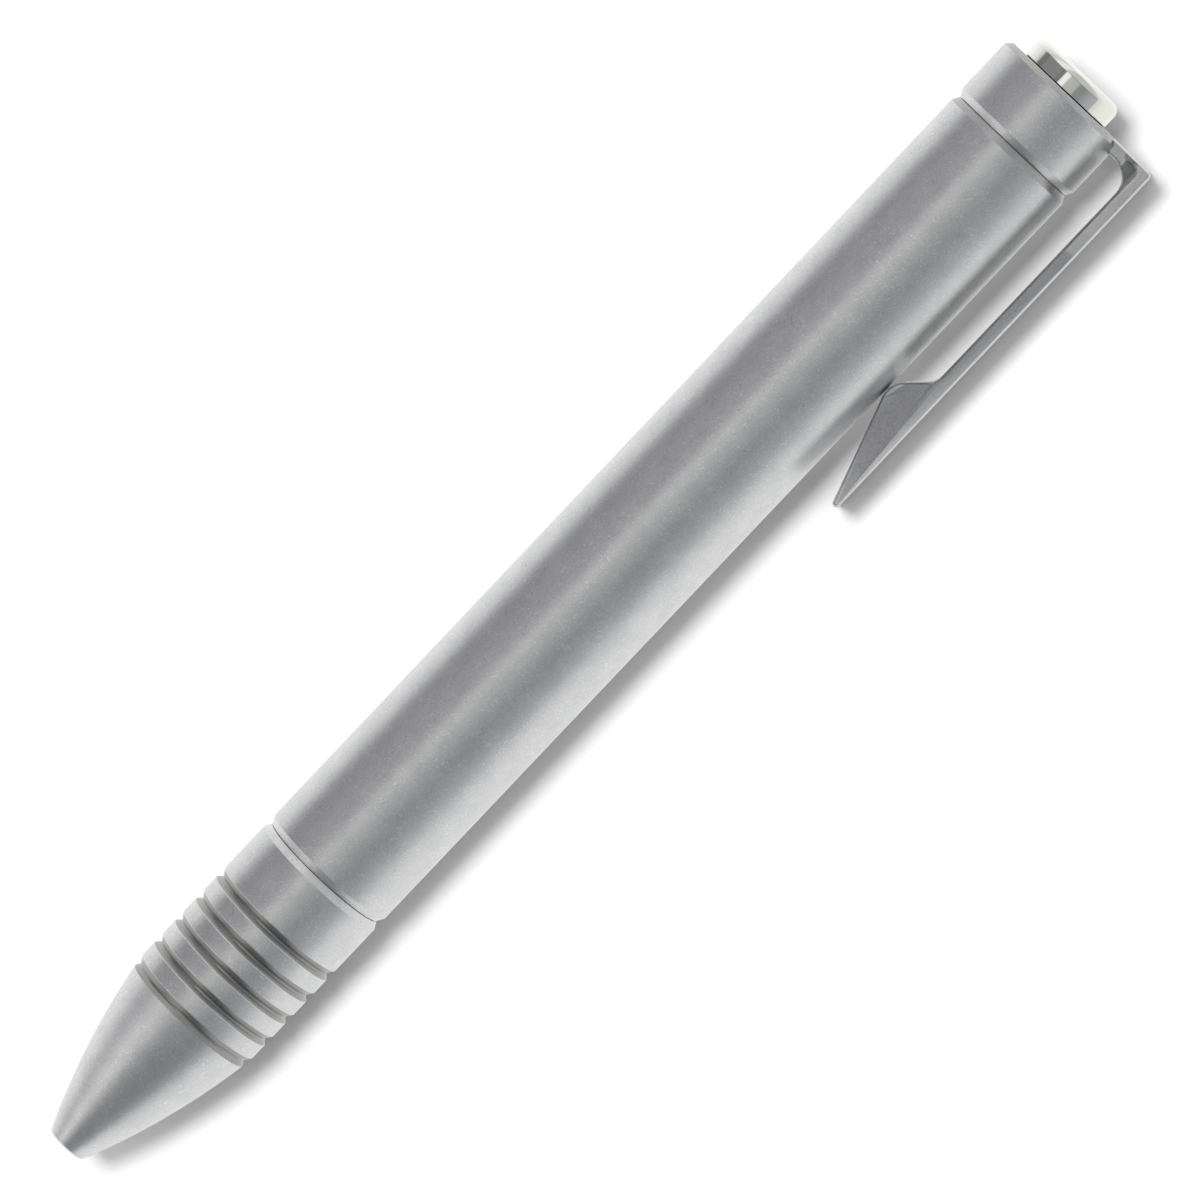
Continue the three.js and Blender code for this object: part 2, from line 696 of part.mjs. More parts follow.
// One round wire wound into a helix, from the seat in the nose to the refill's neck
function returnSpring() {
  const wireRadius = springWire / 2;
  const coilRadius = springBoreRadius - springSideClearance - wireRadius;
  const start = springSeatFromTip + springEndGap + wireRadius;
  const end = refillNeckStation - springEndGap - wireRadius;
  const steps = springTurns * springStepsPerTurn;
  const rise = (end - start) / (2 * Math.PI * springTurns);
  const positions = [];
  const centres = [];
  for (let i = 0; i <= steps; i += 1) {
    const turn = 2 * Math.PI * springTurns * i / steps;
    const out = new THREE.Vector3(Math.cos(turn), 0, Math.sin(turn));
    const centre = out.clone().multiplyScalar(coilRadius).setY(start + rise * turn);
    const along = new THREE.Vector3(-coilRadius * Math.sin(turn), rise, coilRadius * Math.cos(turn)).normalize();
    const across = new THREE.Vector3().crossVectors(along, out);
    centres.push(centre);
    for (let k = 0; k < springSides; k += 1) {
      const angle = 2 * Math.PI * k / springSides;
      const point = centre.clone();
      point.addScaledVector(out, wireRadius * Math.cos(angle));
      point.addScaledVector(across, wireRadius * Math.sin(angle));
      positions.push(point.x, point.y, point.z);
    }
  }
  const faces = [];
  for (let i = 0; i < steps; i += 1) {
    for (let k = 0; k < springSides; k += 1) {
      const next = (k + 1) % springSides;
      const [a, b] = [i * springSides + k, i * springSides + next];
      const [c, d] = [a + springSides, b + springSides];
      faces.push(a, b, d, a, d, c);
    }
  }
  const last = steps * springSides;
  for (let k = 1; k < springSides - 1; k += 1) {
    faces.push(0, k + 1, k);
    faces.push(last, last + k, last + k + 1);
  }
  const geometry = new THREE.BufferGeometry();
  geometry.setAttribute('position', new THREE.Float32BufferAttribute(positions, 3));
  geometry.setIndex(faces);
  let leastGap = Infinity;
  for (let i = 0; i <= steps; i += 1) {
    for (let j = i + springStepsPerTurn / 2; j <= steps; j += 1) {
      leastGap = Math.min(leastGap, centres[i].distanceTo(centres[j]) - springWire);
    }
  }
  console.log(`return spring: least gap between turns ${leastGap.toFixed(3)} mm`);
  return mesh('return_spring', geometry, springSteel);
}

// Assembly: everything that has a roll about the pen's axis sits in the rolled group
const rolled = new THREE.Group();
rolled.rotation.y = clipRoll;
rolled.add(tailCap(), pocketClip(), ...clipPins(), barrel(), boltBody(), boltHandle());

const upright = new THREE.Group();
upright.add(rolled);
upright.add(noseSection(), noseORing(), boltORing(), returnSpring());
upright.add(refillBody(), refillTip(), refillBall(), refillPlug());
upright.rotation.z = -Math.PI / 2;

// The pen lies along X with its tail towards +X; the origin is below the middle of its box
const pen = new THREE.Group();
pen.add(upright);
const box = new THREE.Box3().setFromObject(pen, true);
upright.position.set(-(box.min.x + box.max.x) / 2, -(box.min.y + box.max.y) / 2, -box.min.z);

export default pen;
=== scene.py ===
# %% [markdown]
# # A bolt action pen of titanium and steel
# The pen lies on a white table, on its barrel and on one edge of its pocket clip. Its CAD model says where
# each piece is and how it moves. This lesson gives every piece its fine shape and its finish in Blender,
# lights it as a small studio would, and looks at it from high above. The CAD model comes first, because the
# main sizes and places below are read off it.

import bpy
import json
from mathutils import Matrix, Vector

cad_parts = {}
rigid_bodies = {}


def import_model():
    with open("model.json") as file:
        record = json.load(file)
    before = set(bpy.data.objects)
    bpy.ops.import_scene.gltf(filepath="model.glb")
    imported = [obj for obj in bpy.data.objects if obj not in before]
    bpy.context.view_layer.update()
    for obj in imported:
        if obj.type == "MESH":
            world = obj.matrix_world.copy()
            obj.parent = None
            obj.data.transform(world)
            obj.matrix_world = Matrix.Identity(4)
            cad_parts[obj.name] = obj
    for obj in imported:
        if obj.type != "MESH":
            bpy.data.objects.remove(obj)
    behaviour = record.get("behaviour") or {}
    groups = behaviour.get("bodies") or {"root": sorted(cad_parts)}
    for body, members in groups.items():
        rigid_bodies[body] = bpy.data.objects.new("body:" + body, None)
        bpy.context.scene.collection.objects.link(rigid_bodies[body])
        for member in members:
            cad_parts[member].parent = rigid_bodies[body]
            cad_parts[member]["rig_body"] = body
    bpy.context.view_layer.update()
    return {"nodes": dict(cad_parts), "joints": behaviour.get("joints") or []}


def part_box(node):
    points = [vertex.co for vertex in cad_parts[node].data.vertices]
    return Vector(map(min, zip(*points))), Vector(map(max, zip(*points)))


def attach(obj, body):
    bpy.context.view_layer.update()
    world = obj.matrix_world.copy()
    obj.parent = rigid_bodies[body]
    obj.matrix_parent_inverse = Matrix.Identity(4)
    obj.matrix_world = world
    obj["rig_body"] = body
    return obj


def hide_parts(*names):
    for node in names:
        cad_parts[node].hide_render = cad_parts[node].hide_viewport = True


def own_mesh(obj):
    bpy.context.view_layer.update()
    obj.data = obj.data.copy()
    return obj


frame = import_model()

# %% [markdown]
# ## The pen's own frame
# A pen is a turned thing: almost every size is a radius or a station along its axis. It could be drawn
# straight in the scene's metres, but then each point would hold the pen's roll on the table. So each piece
# is drawn in the pen's own millimetres: x is how far out towards the clip, y is the station from the
# writing tip to the tail, and z is how far towards the side that the camera sees. One matrix then lays all
# pieces on the table.

# %% The frame of the pen, read off the CAD model
import json
import math

import bmesh
import bpy
from mathutils import Matrix, Vector
from mathutils.geometry import delaunay_2d_cdt

mm = 0.001
scene = bpy.context.scene
joints = {joint["name"]: joint for joint in frame["joints"]}

nose_low, nose_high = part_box("nose_section")
tip = Vector((nose_low.x, (nose_low.y + nose_high.y) / 2, (nose_low.z + nose_high.z) / 2))
along = Vector((1, 0, 0))
side = Vector(joints["clip_flex"]["axis"])
out = along.cross(side)
pen_frame = Matrix.Translation(tip) @ Matrix((out * mm, along * mm, side * mm)).transposed().to_4x4()


def reach(node, direction):
    """The least and the most that a CAD node reaches along a direction from the tip, in millimetres."""
    lengths = [(vertex.co - tip).dot(direction) / mm for vertex in frame["nodes"][node].data.vertices]
    return min(lengths), max(lengths)


# The CAD pieces stand joint_gap apart. The scene shows the joints a little wider, so that their line is seen.
joint_gap = 0.03
shown_gap = 0.05
half_gap = shown_gap / 2
barrel_radius = (nose_high.z - nose_low.z) / 2 / mm
nose_joint = reach("barrel", along)[0] - joint_gap / 2
cap_joint = reach("barrel", along)[1] + joint_gap / 2
cap_end = reach("tail_cap", along)[1]
bolt_front, button_end = reach("bolt_body", along)
print("radius", round(barrel_radius, 3), "joints at", round(nose_joint, 3), round(cap_joint, 3))
print("cap ends at", round(cap_end, 3), "and button at", round(button_end, 3))

# %% [markdown]
# ## Rounding the corners of an outline
# No machined edge is truly sharp: a tumbled one has a radius of about 0.05 mm, and that thin round is what
# catches the light. A Bevel modifier could make it, but it also bevels facets where it should not. Here
# each corner of an outline carries its own radius, and is turned into a short arc before the outline is
# spun.

# %% Corners to arcs
broken_edge = 0.05
fine_edge = 0.03
soft_edge = 0.2
arc_steps = 4
straight_enough = math.radians(172)
longest_run = 0.45


def arc(centre_x, centre_y, radius, start, end, steps):
    """Points of an arc about a centre, from one angle to another, both ends included."""
    angles = [start + (end - start) * i / steps for i in range(steps + 1)]
    return [(centre_x + radius * math.cos(angle), centre_y + radius * math.sin(angle)) for angle in angles]


def rounded(corners, edge=broken_edge, steps=arc_steps):
    """A closed outline whose (x, y) corners get the usual edge radius, and (x, y, radius) ones their own."""
    points = []
    for i, corner in enumerate(corners):
        radius = corner[2] if len(corner) > 2 else edge
        here = Vector(corner[:2])
        back = Vector(corners[i - 1][:2]) - here
        ahead = Vector(corners[(i + 1) % len(corners)][:2]) - here
        opening = back.angle(ahead)
        if radius == 0 or opening > straight_enough:
            points.append(tuple(here))
            continue
        run = min(radius / math.tan(opening / 2), longest_run * back.length, longest_run * ahead.length)
        centre = here + (back.normalized() + ahead.normalized()).normalized() * run / math.cos(opening / 2)
        first = here + back.normalized() * run - centre
        last = here + ahead.normalized() * run - centre
        sweep = first.angle_signed(last)
        for k in range(steps + 1):
            points.append(tuple(centre + Matrix.Rotation(-sweep * k / steps, 2) @ first))
    return points


# %% [markdown]
# ## Turning, cutting and finishing a piece
# A lathe spins an outline, a mill then cuts into the bar, and the finished part goes into the assembly. The
# helpers do the same: one spins an outline into a mesh, one cuts with the Boolean modifier and keeps the
# result, and one moves the piece into place, marks its sharp edges and ties it to its CAD body. A Screw
# modifier could spin as well, but bmesh leaves plain vertices that a thread can be cut into later.

# %% Helpers that make a piece
body_segments = 144
small_segments = 48
least_radius = 1e-6
sharp_edge = math.radians(34)


def link(name, bm):
    """Makes an object of a bmesh that is drawn in the pen's millimetres, with its faces pointing out."""
    bmesh.ops.recalc_face_normals(bm, faces=bm.faces)
    mesh = bpy.data.meshes.new(name)
    bm.to_mesh(mesh)
    bm.free()
    made = bpy.data.objects.new(name, mesh)
    scene.collection.objects.link(made)
    return made


def skin(bm, rings):
    """Joins each ring of vertices to the next one with a band of faces."""
    for ring, following in zip(rings, rings[1:]):
        for i in range(len(ring)):
            k = (i + 1) % len(ring)
            bm.faces.new([ring[i], ring[k], following[k], following[i]])


def turned(name, outline, segments=body_segments):
    """Spins a closed outline of (radius, station) points about the pen's axis."""
    bm = bmesh.new()
    turns = [2 * math.pi * i / segments for i in range(segments)]
    rings = []
    for radius, station in outline:
        if radius < least_radius:
            rings.append([bm.verts.new((0, station, 0))])
        else:
            rings.append([bm.verts.new((radius * math.cos(a), station, radius * math.sin(a))) for a in turns])
    for ring, following in zip(rings, rings[1:] + rings[:1]):
        for i in range(segments):
            k = (i + 1) % segments
            corners = [ring[i % len(ring)], ring[k % len(ring)]]
            corners += [following[k % len(following)], following[i % len(following)]]
            distinct = list(dict.fromkeys(corners))
            if len(distinct) > 2:
                bm.faces.new(distinct)
    return link(name, bm)


def cut(piece, cutters):
    """Cuts each cutter out of a piece and removes the cutters."""
    for cutter in cutters:
        modifier = piece.modifiers.new("cut", "BOOLEAN")
        modifier.solver = "EXACT"
        modifier.object = cutter
    depsgraph = bpy.context.evaluated_depsgraph_get()
    piece.data = bpy.data.meshes.new_from_object(piece.evaluated_get(depsgraph))
    piece.modifiers.clear()
    for cutter in cutters:
        bpy.data.objects.remove(cutter)
    return piece


def assemble(piece, node, material, sharp=sharp_edge):
    """Lays a piece on the table in place of its CAD node, and gives it its finish."""
    piece.data.transform(pen_frame)
    piece.data.materials.clear()
    piece.data.materials.append(material)
    piece.data.set_sharp_from_angle(angle=sharp)
    flat_first = piece.modifiers.new("flat faces stay flat", "WEIGHTED_NORMAL")
    flat_first.keep_sharp = True
    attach(piece, frame["nodes"][node]["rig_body"])
    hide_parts(node)
    print(piece.name, "has", len(piece.data.polygons), "faces")
    return piece


def refinish(piece, material, picks):
    """Gives another finish to the faces whose middle, in the pen's own millimetres, is picked."""
    piece.data.materials.append(material)
    to_pen = pen_frame.inverted()
    chosen = [face for face in piece.data.polygons if picks(to_pen @ face.center)]
    for face in chosen:
        face.material_index = len(piece.data.materials) - 1
    print(piece.name, "has", len(chosen), "faces of", material.name)


# %% [markdown]
# ## Nodes and colours
# Every finish below is a small tree of nodes. One helper adds a node, sets it and links it, so that a
# finish reads as a list of steps. It takes a node's inputs by name, or as a plain list in the order in
# which the node shows them: a Map Range then reads as the value, the range it comes from and the range it
# goes to. A node given as an input stands for its first output. Colours are written as the sRGB hex values
# that a designer would pick, and one function turns them into the linear light that Blender reckons in.
# Most noise stays between 0.3 and 0.7, so that is the range the finishes stretch.

# %% Helpers that make a material
noise_range = (0.3, 0.7)


def linear(hex_colour):
    """An sRGB hex colour as linear red, green and blue, with a full alpha."""
    channels = [int(hex_colour[i:i + 2], 16) / 255 for i in (1, 3, 5)]
    return [c / 12.92 if c <= 0.04045 else ((c + 0.055) / 1.055) ** 2.4 for c in channels] + [1.0]


def add_node(tree, kind, inputs=(), **settings):
    """Adds a node, sets it, and gives its inputs values or links, by name or in the node's own order."""
    node = tree.nodes.new("ShaderNode" + kind)
    for name, value in settings.items():
        setattr(node, name, value)
    named = inputs if isinstance(inputs, dict) else dict(enumerate(inputs))
    for name, value in named.items():
        if isinstance(value, bpy.types.Node):
            value = value.outputs[0]
        if isinstance(value, bpy.types.NodeSocket):
            tree.links.new(value, node.inputs[name])
        else:
            node.inputs[name].default_value = value
    return node


def start_material(name, colour, metallic, roughness):
    """A new material with one Principled shader, and the place on the piece as a texture coordinate."""
    material = bpy.data.materials.new(name)
    material.use_nodes = True
    tree = material.node_tree
    shader = tree.nodes["Principled BSDF"]
    shader.inputs["Base Color"].default_value = linear(colour)
    shader.inputs["Metallic"].default_value = metallic
    shader.inputs["Roughness"].default_value = roughness
    place = add_node(tree, "TexCoord").outputs["Object"]
    return material, tree, shader, place


def finish_shader(tree, shader, colour, tone, haze, roughness_range, bump):
    """Gives the shader a colour that varies in tone, a roughness that varies with the haze, and a bump."""
    toned = add_node(tree, "HueSaturation", {"Color": colour, "Value": tone})
    rougher = add_node(tree, "MapRange", (haze, *noise_range, *roughness_range))
    for node, name in ((toned, "Base Color"), (rougher, "Roughness"), (bump, "Normal")):
        tree.links.new(node.outputs[0], shader.inputs[name])


def per_metre(size):
    """The scale of a texture whose features are to be this many millimetres wide."""
    return 1 / (size * mm)


def fine_lines(tree, place, along_pen, across_pen):
    """Noise squeezed into lines, which are this many millimetres long or wide along and across the pen."""
    scale = (per_metre(along_pen), per_metre(across_pen), per_metre(across_pen))
    squeezed = add_node(tree, "Mapping", {"Vector": place, "Scale": scale})
    return add_node(tree, "TexNoise", {"Vector": squeezed, "Scale": 1.0, "Detail": 2.0})


# %% [markdown]
# ## Tumbled titanium
# The outside is titanium alloy bar, turned and then tumbled with stone chips until it is an even satin
# grey. Up close the tumbling leaves five marks: a fine grain, a faint mottle, clusters of light flecks
# where a chip struck, short hairline scratches in several directions, and a few dark pits. An image of the
# metal could show them, but noise in real millimetres works on every piece alike and needs no unwrapping. A
# hairline is noise that is stretched along one turned direction, and bent a little. The grain is drawn 0.18
# mm wide and the hairlines 0.07 mm, which is about twice as coarse as the real ones, so that they show at
# all.

# %% The finish of the nose, barrel and cap
grain_size = 0.18
grain_tones = (0.965, 1.035)
grain_depth = 0.003
zone_size = 1.8
zone_range = (0.35, 0.65)
zone_tones = (-0.03, 0.03)
patch_size = 2.4
patch_range = (0.5, 0.62)
patch_shares = (0.25, 1.0)
chip_size = 0.2
chip_range = (0.6, 0.72)
chip_light = 0.36
bend_size = 1.5
bend_reach = 0.5
hair_length = 0.9
hair_width = 0.07
hair_range = (0.72, 0.8)
dark_hair = (-0.24, (0.4, 0.3, 0.7))
light_hairs = [(0.3, (1.2, 0.2, -0.5)), (0.3, (0.1, 1.1, 2.0)), (0.3, (0.7, -0.4, 1.3))]
pit_spacing = 1.4
pit_range = (0.6, 1.0)
pit_sizes = (0.0, 0.08)
pit_dark = -0.3
swell_size = 3.0
roughness_swing = 0.04
cool_tint = (0.988, 0.994, 1.0, 1.0)


def tumbled_titanium(name, colour, roughness, marks=1.0, waviness=0.0):
    """The finish, where marks is how strongly the chips have marked it, and waviness is in millimetres."""
    material, tree, shader, place = start_material(name, colour, 1.0, roughness)
    grain = add_node(tree, "TexNoise", {"Vector": place, "Scale": per_metre(grain_size), "Detail": 3.0})
    tone = add_node(tree, "MapRange", (grain, *noise_range, *grain_tones))
    zones = add_node(tree, "TexNoise", {"Vector": place, "Scale": per_metre(zone_size), "Detail": 2.0})
    mottle = add_node(tree, "MapRange", (zones, *zone_range, *zone_tones))
    tone = add_node(tree, "Math", (tone, mottle), operation="ADD")

    patches = add_node(tree, "TexNoise", {"Vector": place, "Scale": per_metre(patch_size), "Detail": 1.0})
    cluster = add_node(tree, "MapRange", (patches, *patch_range, *patch_shares))
    chips = add_node(tree, "TexNoise", {"Vector": place, "Scale": per_metre(chip_size), "Detail": 2.0})
    fleck = add_node(tree, "MapRange", (chips, *chip_range, 0.0, chip_light * marks))
    tone = add_node(tree, "Math", (cluster, fleck, tone), operation="MULTIPLY_ADD")

    bend = add_node(tree, "TexNoise", {
        "Vector": place, "Scale": per_metre(bend_size), "Detail": 0.0}).outputs["Color"]
    bent = add_node(tree, "VectorMath", (bend, (bend_reach * mm,) * 3, place), operation="MULTIPLY_ADD")
    hair_box = (hair_length * mm, hair_width * mm, hair_width * mm)
    for strength, turn in (dark_hair, *light_hairs):
        stretched = add_node(tree, "Mapping", {
            "Vector": bent, "Rotation": turn, "Scale": hair_box}, vector_type="TEXTURE")
        hairs = add_node(tree, "TexNoise", {"Vector": stretched, "Scale": 1.0, "Detail": 0.0})
        scratch = add_node(tree, "MapRange", (hairs, *hair_range, 0.0, strength * marks))
        tone = add_node(tree, "Math", (tone, scratch), operation="ADD")

    pits = add_node(tree, "TexVoronoi", {"Vector": place, "Scale": per_metre(pit_spacing)}).outputs
    pit_size = add_node(tree, "MapRange", (pits["Color"], *pit_range, *pit_sizes))
    pit = add_node(tree, "Math", (pits["Distance"], pit_size), operation="LESS_THAN")
    tone = add_node(tree, "Math", (pit, pit_dark * marks, tone), operation="MULTIPLY_ADD")

    cool = [channel * share for channel, share in zip(linear(colour), cool_tint)]
    zone = add_node(tree, "MapRange", (zones, *zone_range))
    tint = add_node(tree, "Mix", {0: zone, 6: cool, 7: linear(colour)}, data_type="RGBA").outputs[2]
    bump = add_node(tree, "Bump", {"Height": grain, "Strength": 0.3, "Distance": grain_depth * mm})
    if waviness:
        swell = add_node(tree, "TexNoise", {"Vector": place, "Scale": per_metre(swell_size), "Detail": 0.0})
        rolling = add_node(tree, "Bump", {"Height": swell, "Distance": waviness * mm})
        tree.links.new(rolling.outputs[0], bump.inputs["Normal"])
    roughness_range = (roughness - roughness_swing, roughness + roughness_swing)
    finish_shader(tree, shader, tint, tone, grain, roughness_range, bump)
    return material


titanium = tumbled_titanium("titanium_turned_and_tumbled", "#E4E4E4", 0.37)
clip_titanium = tumbled_titanium("titanium_milled_and_tumbled", "#DBDBDB", 0.3, marks=0.12, waviness=0.05)
# The darker titanium of the grooves' walls is painted shade in the grooves.
titanium_painted_groove_shade = tumbled_titanium("titanium_with_painted_groove_shade", "#A5A4A2", 0.3, marks=0.0)
# The darker titanium of the fillet beside the clip's arm is painted shade.
titanium_painted_pocket_shade = tumbled_titanium("titanium_with_painted_pocket_shade", "#C2C2C0", 0.33, marks=0.0)
# The darker titanium of the chamfers at the cap's joint and end is painted shade.
titanium_painted_chamfer_shade = tumbled_titanium("titanium_with_painted_chamfer_shade", "#B5B5B4", 0.3, marks=0.4)
for finish in (titanium, clip_titanium, titanium_painted_groove_shade, titanium_painted_pocket_shade, titanium_painted_chamfer_shade):
    print("titanium finish:", finish.name)

# %% [markdown]
# ## Polished stainless steel
# The bolt, its handle and the clip's dowels are stainless steel, buffed until they mirror the room. What
# tells polished steel from chrome is that the buffing wheel leaves faint lines round the bar and a slight
# haze. The lines are noise squeezed along the pen's axis: 0.06 mm apart along it, and long around it. A
# narrow groove gets a finish of its own, a dark and dull steel that is painted shade in the groove.

# %% The finish of the bolt
buffing_length = 8.0
haze_size = 1.5
buffed_tones = (0.985, 1.015)
buffed_depth = 0.001


def polished_steel(name, colour, roughness, line_spacing):
    """A buffed steel with fine lines round the bar, this many millimetres apart, and a slight haze."""
    material, tree, shader, place = start_material(name, colour, 1.0, roughness)
    lines = fine_lines(tree, place, line_spacing, buffing_length)
    haze = add_node(tree, "TexNoise", {"Vector": place, "Scale": per_metre(haze_size), "Detail": 3.0})
    tone = add_node(tree, "MapRange", (lines, *noise_range, *buffed_tones))
    bump = add_node(tree, "Bump", {"Height": lines, "Strength": 0.1, "Distance": buffed_depth * mm})
    finish_shader(tree, shader, linear(colour), tone, haze, (roughness * 0.8, roughness * 1.3), bump)
    return material


steel = polished_steel("stainless_steel_polished", "#F7F6F1", 0.07, line_spacing=0.06)
# The dark, dull steel of the groove at the button's foot is painted shade.
steel_painted_groove_shade = polished_steel("stainless_steel_with_painted_groove_shade", "#38383A", 0.5, line_spacing=0.06)
print("steel finishes:", steel.name, steel_painted_groove_shade.name)

# %% [markdown]
# ## Drawn and turned metals of the refill and its spring
# Four more metals carry the marks of how they were made. The refill's steel tube is drawn through a die, so
# its lines run along it, and the nickel silver tip is turned on a small lathe, so its lines run round it.
# The drawn wire turns every way as it winds, and the carbide ball is ground from all sides, so their marks
# have no direction. The same squeezed noise serves all four, and only its lengths along and across the pen
# change.

# %% The finishes of the tube, wire, tip and ball
line_tones = (0.94, 1.05)


def lined_metal(name, colour, roughness, along_pen, across_pen, depth=0.002):
    """A metal with lines: their millimetres along and across the pen, and how deep they are."""
    material, tree, shader, place = start_material(name, colour, 1.0, roughness)
    lines = fine_lines(tree, place, along_pen, across_pen)
    tone = add_node(tree, "MapRange", (lines, *noise_range, *line_tones))
    bump = add_node(tree, "Bump", {"Height": lines, "Strength": 0.4, "Distance": depth * mm})
    finish_shader(tree, shader, linear(colour), tone, lines, (roughness * 0.8, roughness * 1.25), bump)
    return material


tube_steel = lined_metal("steel_tube_drawn", "#C9C8C5", 0.26, along_pen=12.0, across_pen=0.12)
wire_steel = lined_metal("spring_wire_drawn", "#BFC0C3", 0.24, along_pen=0.15, across_pen=0.15)
tip_metal = lined_metal("nickel_silver_turned", "#D2CAB6", 0.2, along_pen=0.06, across_pen=8.0)
carbide = lined_metal("tungsten_carbide_ground", "#8E8F92", 0.1, along_pen=0.04, across_pen=0.04,
                      depth=0.0005)
print("drawn and turned finishes:", tube_steel.name, wire_steel.name, tip_metal.name, carbide.name)

# %% [markdown]
# ## Rubber and plastic
# The two sealing rings are nitrile rubber, pressed in a polished mould: black, smooth, with a dusty bloom
# that varies over about a millimetre. The plug in the refill's tail is moulded acetal in dark blue, which
# is a little waxy and shows the faint flow of the melt. Neither is a metal, so the shader's own gloss does
# the rest.

# %% The finishes of the rings and the plug
pebble_size = 0.08
moulded_swing = 0.08


def moulded(name, colour, roughness, ior, mottle_size, tone_swing, pebble):
    """A moulded skin: how large its mottle is, how far its tone swings, and how deep its pebbles are."""
    material, tree, shader, place = start_material(name, colour, 0.0, roughness)
    shader.inputs["IOR"].default_value = ior
    mottle = add_node(tree, "TexNoise", {"Vector": place, "Scale": per_metre(mottle_size), "Detail": 4.0})
    tones = (1 - tone_swing, 1 + tone_swing)
    tone = add_node(tree, "MapRange", (mottle, *noise_range, *tones))
    pebbles = add_node(tree, "TexNoise", {"Vector": place, "Scale": per_metre(pebble_size), "Detail": 1.0})
    bump = add_node(tree, "Bump", {"Height": pebbles, "Strength": 0.3, "Distance": pebble * mm})
    roughness_range = (roughness - moulded_swing, roughness + moulded_swing)
    finish_shader(tree, shader, linear(colour), tone, mottle, roughness_range, bump)
    return material


rubber = moulded("nitrile_rubber_moulded", "#1D1D1E", 0.55, 1.52, 0.9, 0.25, pebble=0.006)
acetal = moulded("acetal_moulded_dark_blue", "#22345C", 0.42, 1.48, 2.0, 0.08, pebble=0.003)
print("moulded finishes:", rubber.name, "and", acetal.name)

# %% [markdown]
# ## The nose section
# The nose is one turned piece: a flat land, five ring grooves for the fingers, and a long arc down to the
# tip. The walls of the grooves get a darker titanium of their own, which is painted shade in the grooves.
# Behind the joint it goes on as a thinner spigot that screws into the barrel, with a groove for a rubber
# ring and a fine thread. The outline below runs from the tip along the outside to the end of the spigot and
# back through the bore, which narrows in steps for the spring and the refill's tip.

# %% The outline of the nose
tip_radius = 1.78
tip_edge = 0.16
ogive_radius = 63.5
ogive_root_step = 0.15
ogive_steps = 72
first_groove = 6.0
groove_pitch = 2.54
groove_count = 5
groove_width = 1.08
groove_root_width = 0.16
groove_root_shift = -0.1
groove_land_edge = 0.12
groove_depth = 0.38
groove_root_edge = 0.04
joint_chamfer_length = 0.67
joint_chamfer_depth = 0.37
spigot_end = reach("nose_section", along)[1]
spigot_radius = 5.1
spigot_chamfer = 0.4
spigot_shoulder = 0.8
seal_width = 1.1
seal_depth = 0.65
nose_seal = nose_joint + spigot_shoulder + seal_width / 2
nose_seal_end = nose_seal + seal_width / 2
spring_seat = 3.5
tip_hole_radius = 1.3
tip_hole_edge = 0.08
spring_bore_radius = 2.4
refill_bore_radius = 3.2
refill_neck_station = reach("refill_body", along)[0]
neck_room = 2.9
bore_step = refill_neck_station - neck_room


def ogive(length):
    """The long arc from the tip to the grooves: (radius, station, 0) points, where 0 is for no rounding."""
    root_radius = barrel_radius - ogive_root_step
    chord = math.hypot(length, root_radius - tip_radius)
    half_turn = math.asin(chord / 2 / ogive_radius)
    steepest = math.atan2(root_radius - tip_radius, length) + half_turn
    centre_station = ogive_radius * math.sin(steepest)
    centre_radius = tip_radius - ogive_radius * math.cos(steepest)
    points = []
    for i in range(ogive_steps + 1):
        slope = steepest - 2 * half_turn * i / ogive_steps
        radius = centre_radius + ogive_radius * math.cos(slope)
        points.append((radius, centre_station - ogive_radius * math.sin(slope), 0))
    return points


def groove(station):
    """One ring groove with sloping walls, steeper on the nose's side: its four corners, towards the tail."""
    root = barrel_radius - groove_depth
    middle = station + groove_root_shift
    return [
        (barrel_radius, station - groove_width / 2, groove_land_edge),
        (root, middle - groove_root_width / 2, groove_root_edge),
        (root, middle + groove_root_width / 2, groove_root_edge),
        (barrel_radius, station + groove_width / 2, groove_land_edge),
    ]


def seal_groove(radius, station):
    """The square groove that holds a rubber ring."""
    return [
        (radius, station - seal_width / 2),
        (radius - seal_depth, station - seal_width / 2),
        (radius - seal_depth, station + seal_width / 2),
        (radius, station + seal_width / 2),
    ]


grooves = [nose_joint - first_groove - i * groove_pitch for i in reversed(range(groove_count))]
front_arc = ogive(grooves[0] - groove_width / 2)
print("ring grooves at", [round(station, 2) for station in grooves])

# %% [markdown]
# ## The thread
# A screw thread is a groove that climbs by one pitch in each turn. It could be drawn as plain rings, but
# rings never climb and the eye notices. So the spigot gets a ring of vertices every twelfth of a pitch, and
# each vertex sinks by the depth of the thread at its own turn and station, less at both ends where it runs
# out.

# %% Cutting a thread into a turned surface
thread_pitch = 0.75
thread_depth = 0.28
thread_steepness = 1.25
thread_crest = 0.12
thread_slack = 1e-4
rings_per_pitch = 12


def thread_stations(start, end):
    """The stations of the rings of vertices that a thread between two stations needs."""
    count = round((end - start) / thread_pitch * rings_per_pitch)
    return [start + (end - start) * i / count for i in range(count + 1)]


def cut_thread(piece, radius, start, end, sign=-1):
    """Sinks the vertices of a surface of this radius into a thread; the sign is 1 for one inside a bore."""
    for vertex in piece.data.vertices:
        x, station, z = vertex.co
        here = math.hypot(x, z)
        if abs(here - radius) > thread_slack or not start < station < end:
            continue
        phase = (station / thread_pitch - math.atan2(z, x) / (2 * math.pi)) % 1
        v_shape = 1 - abs(2 * phase - 1)
        run_out = min(1, (station - start) / thread_pitch, (end - station) / thread_pitch)
        depth = thread_depth * min(1, max(0, thread_steepness * v_shape - thread_crest)) * run_out
        vertex.co.x *= (here + sign * depth) / here
        vertex.co.z *= (here + sign * depth) / here


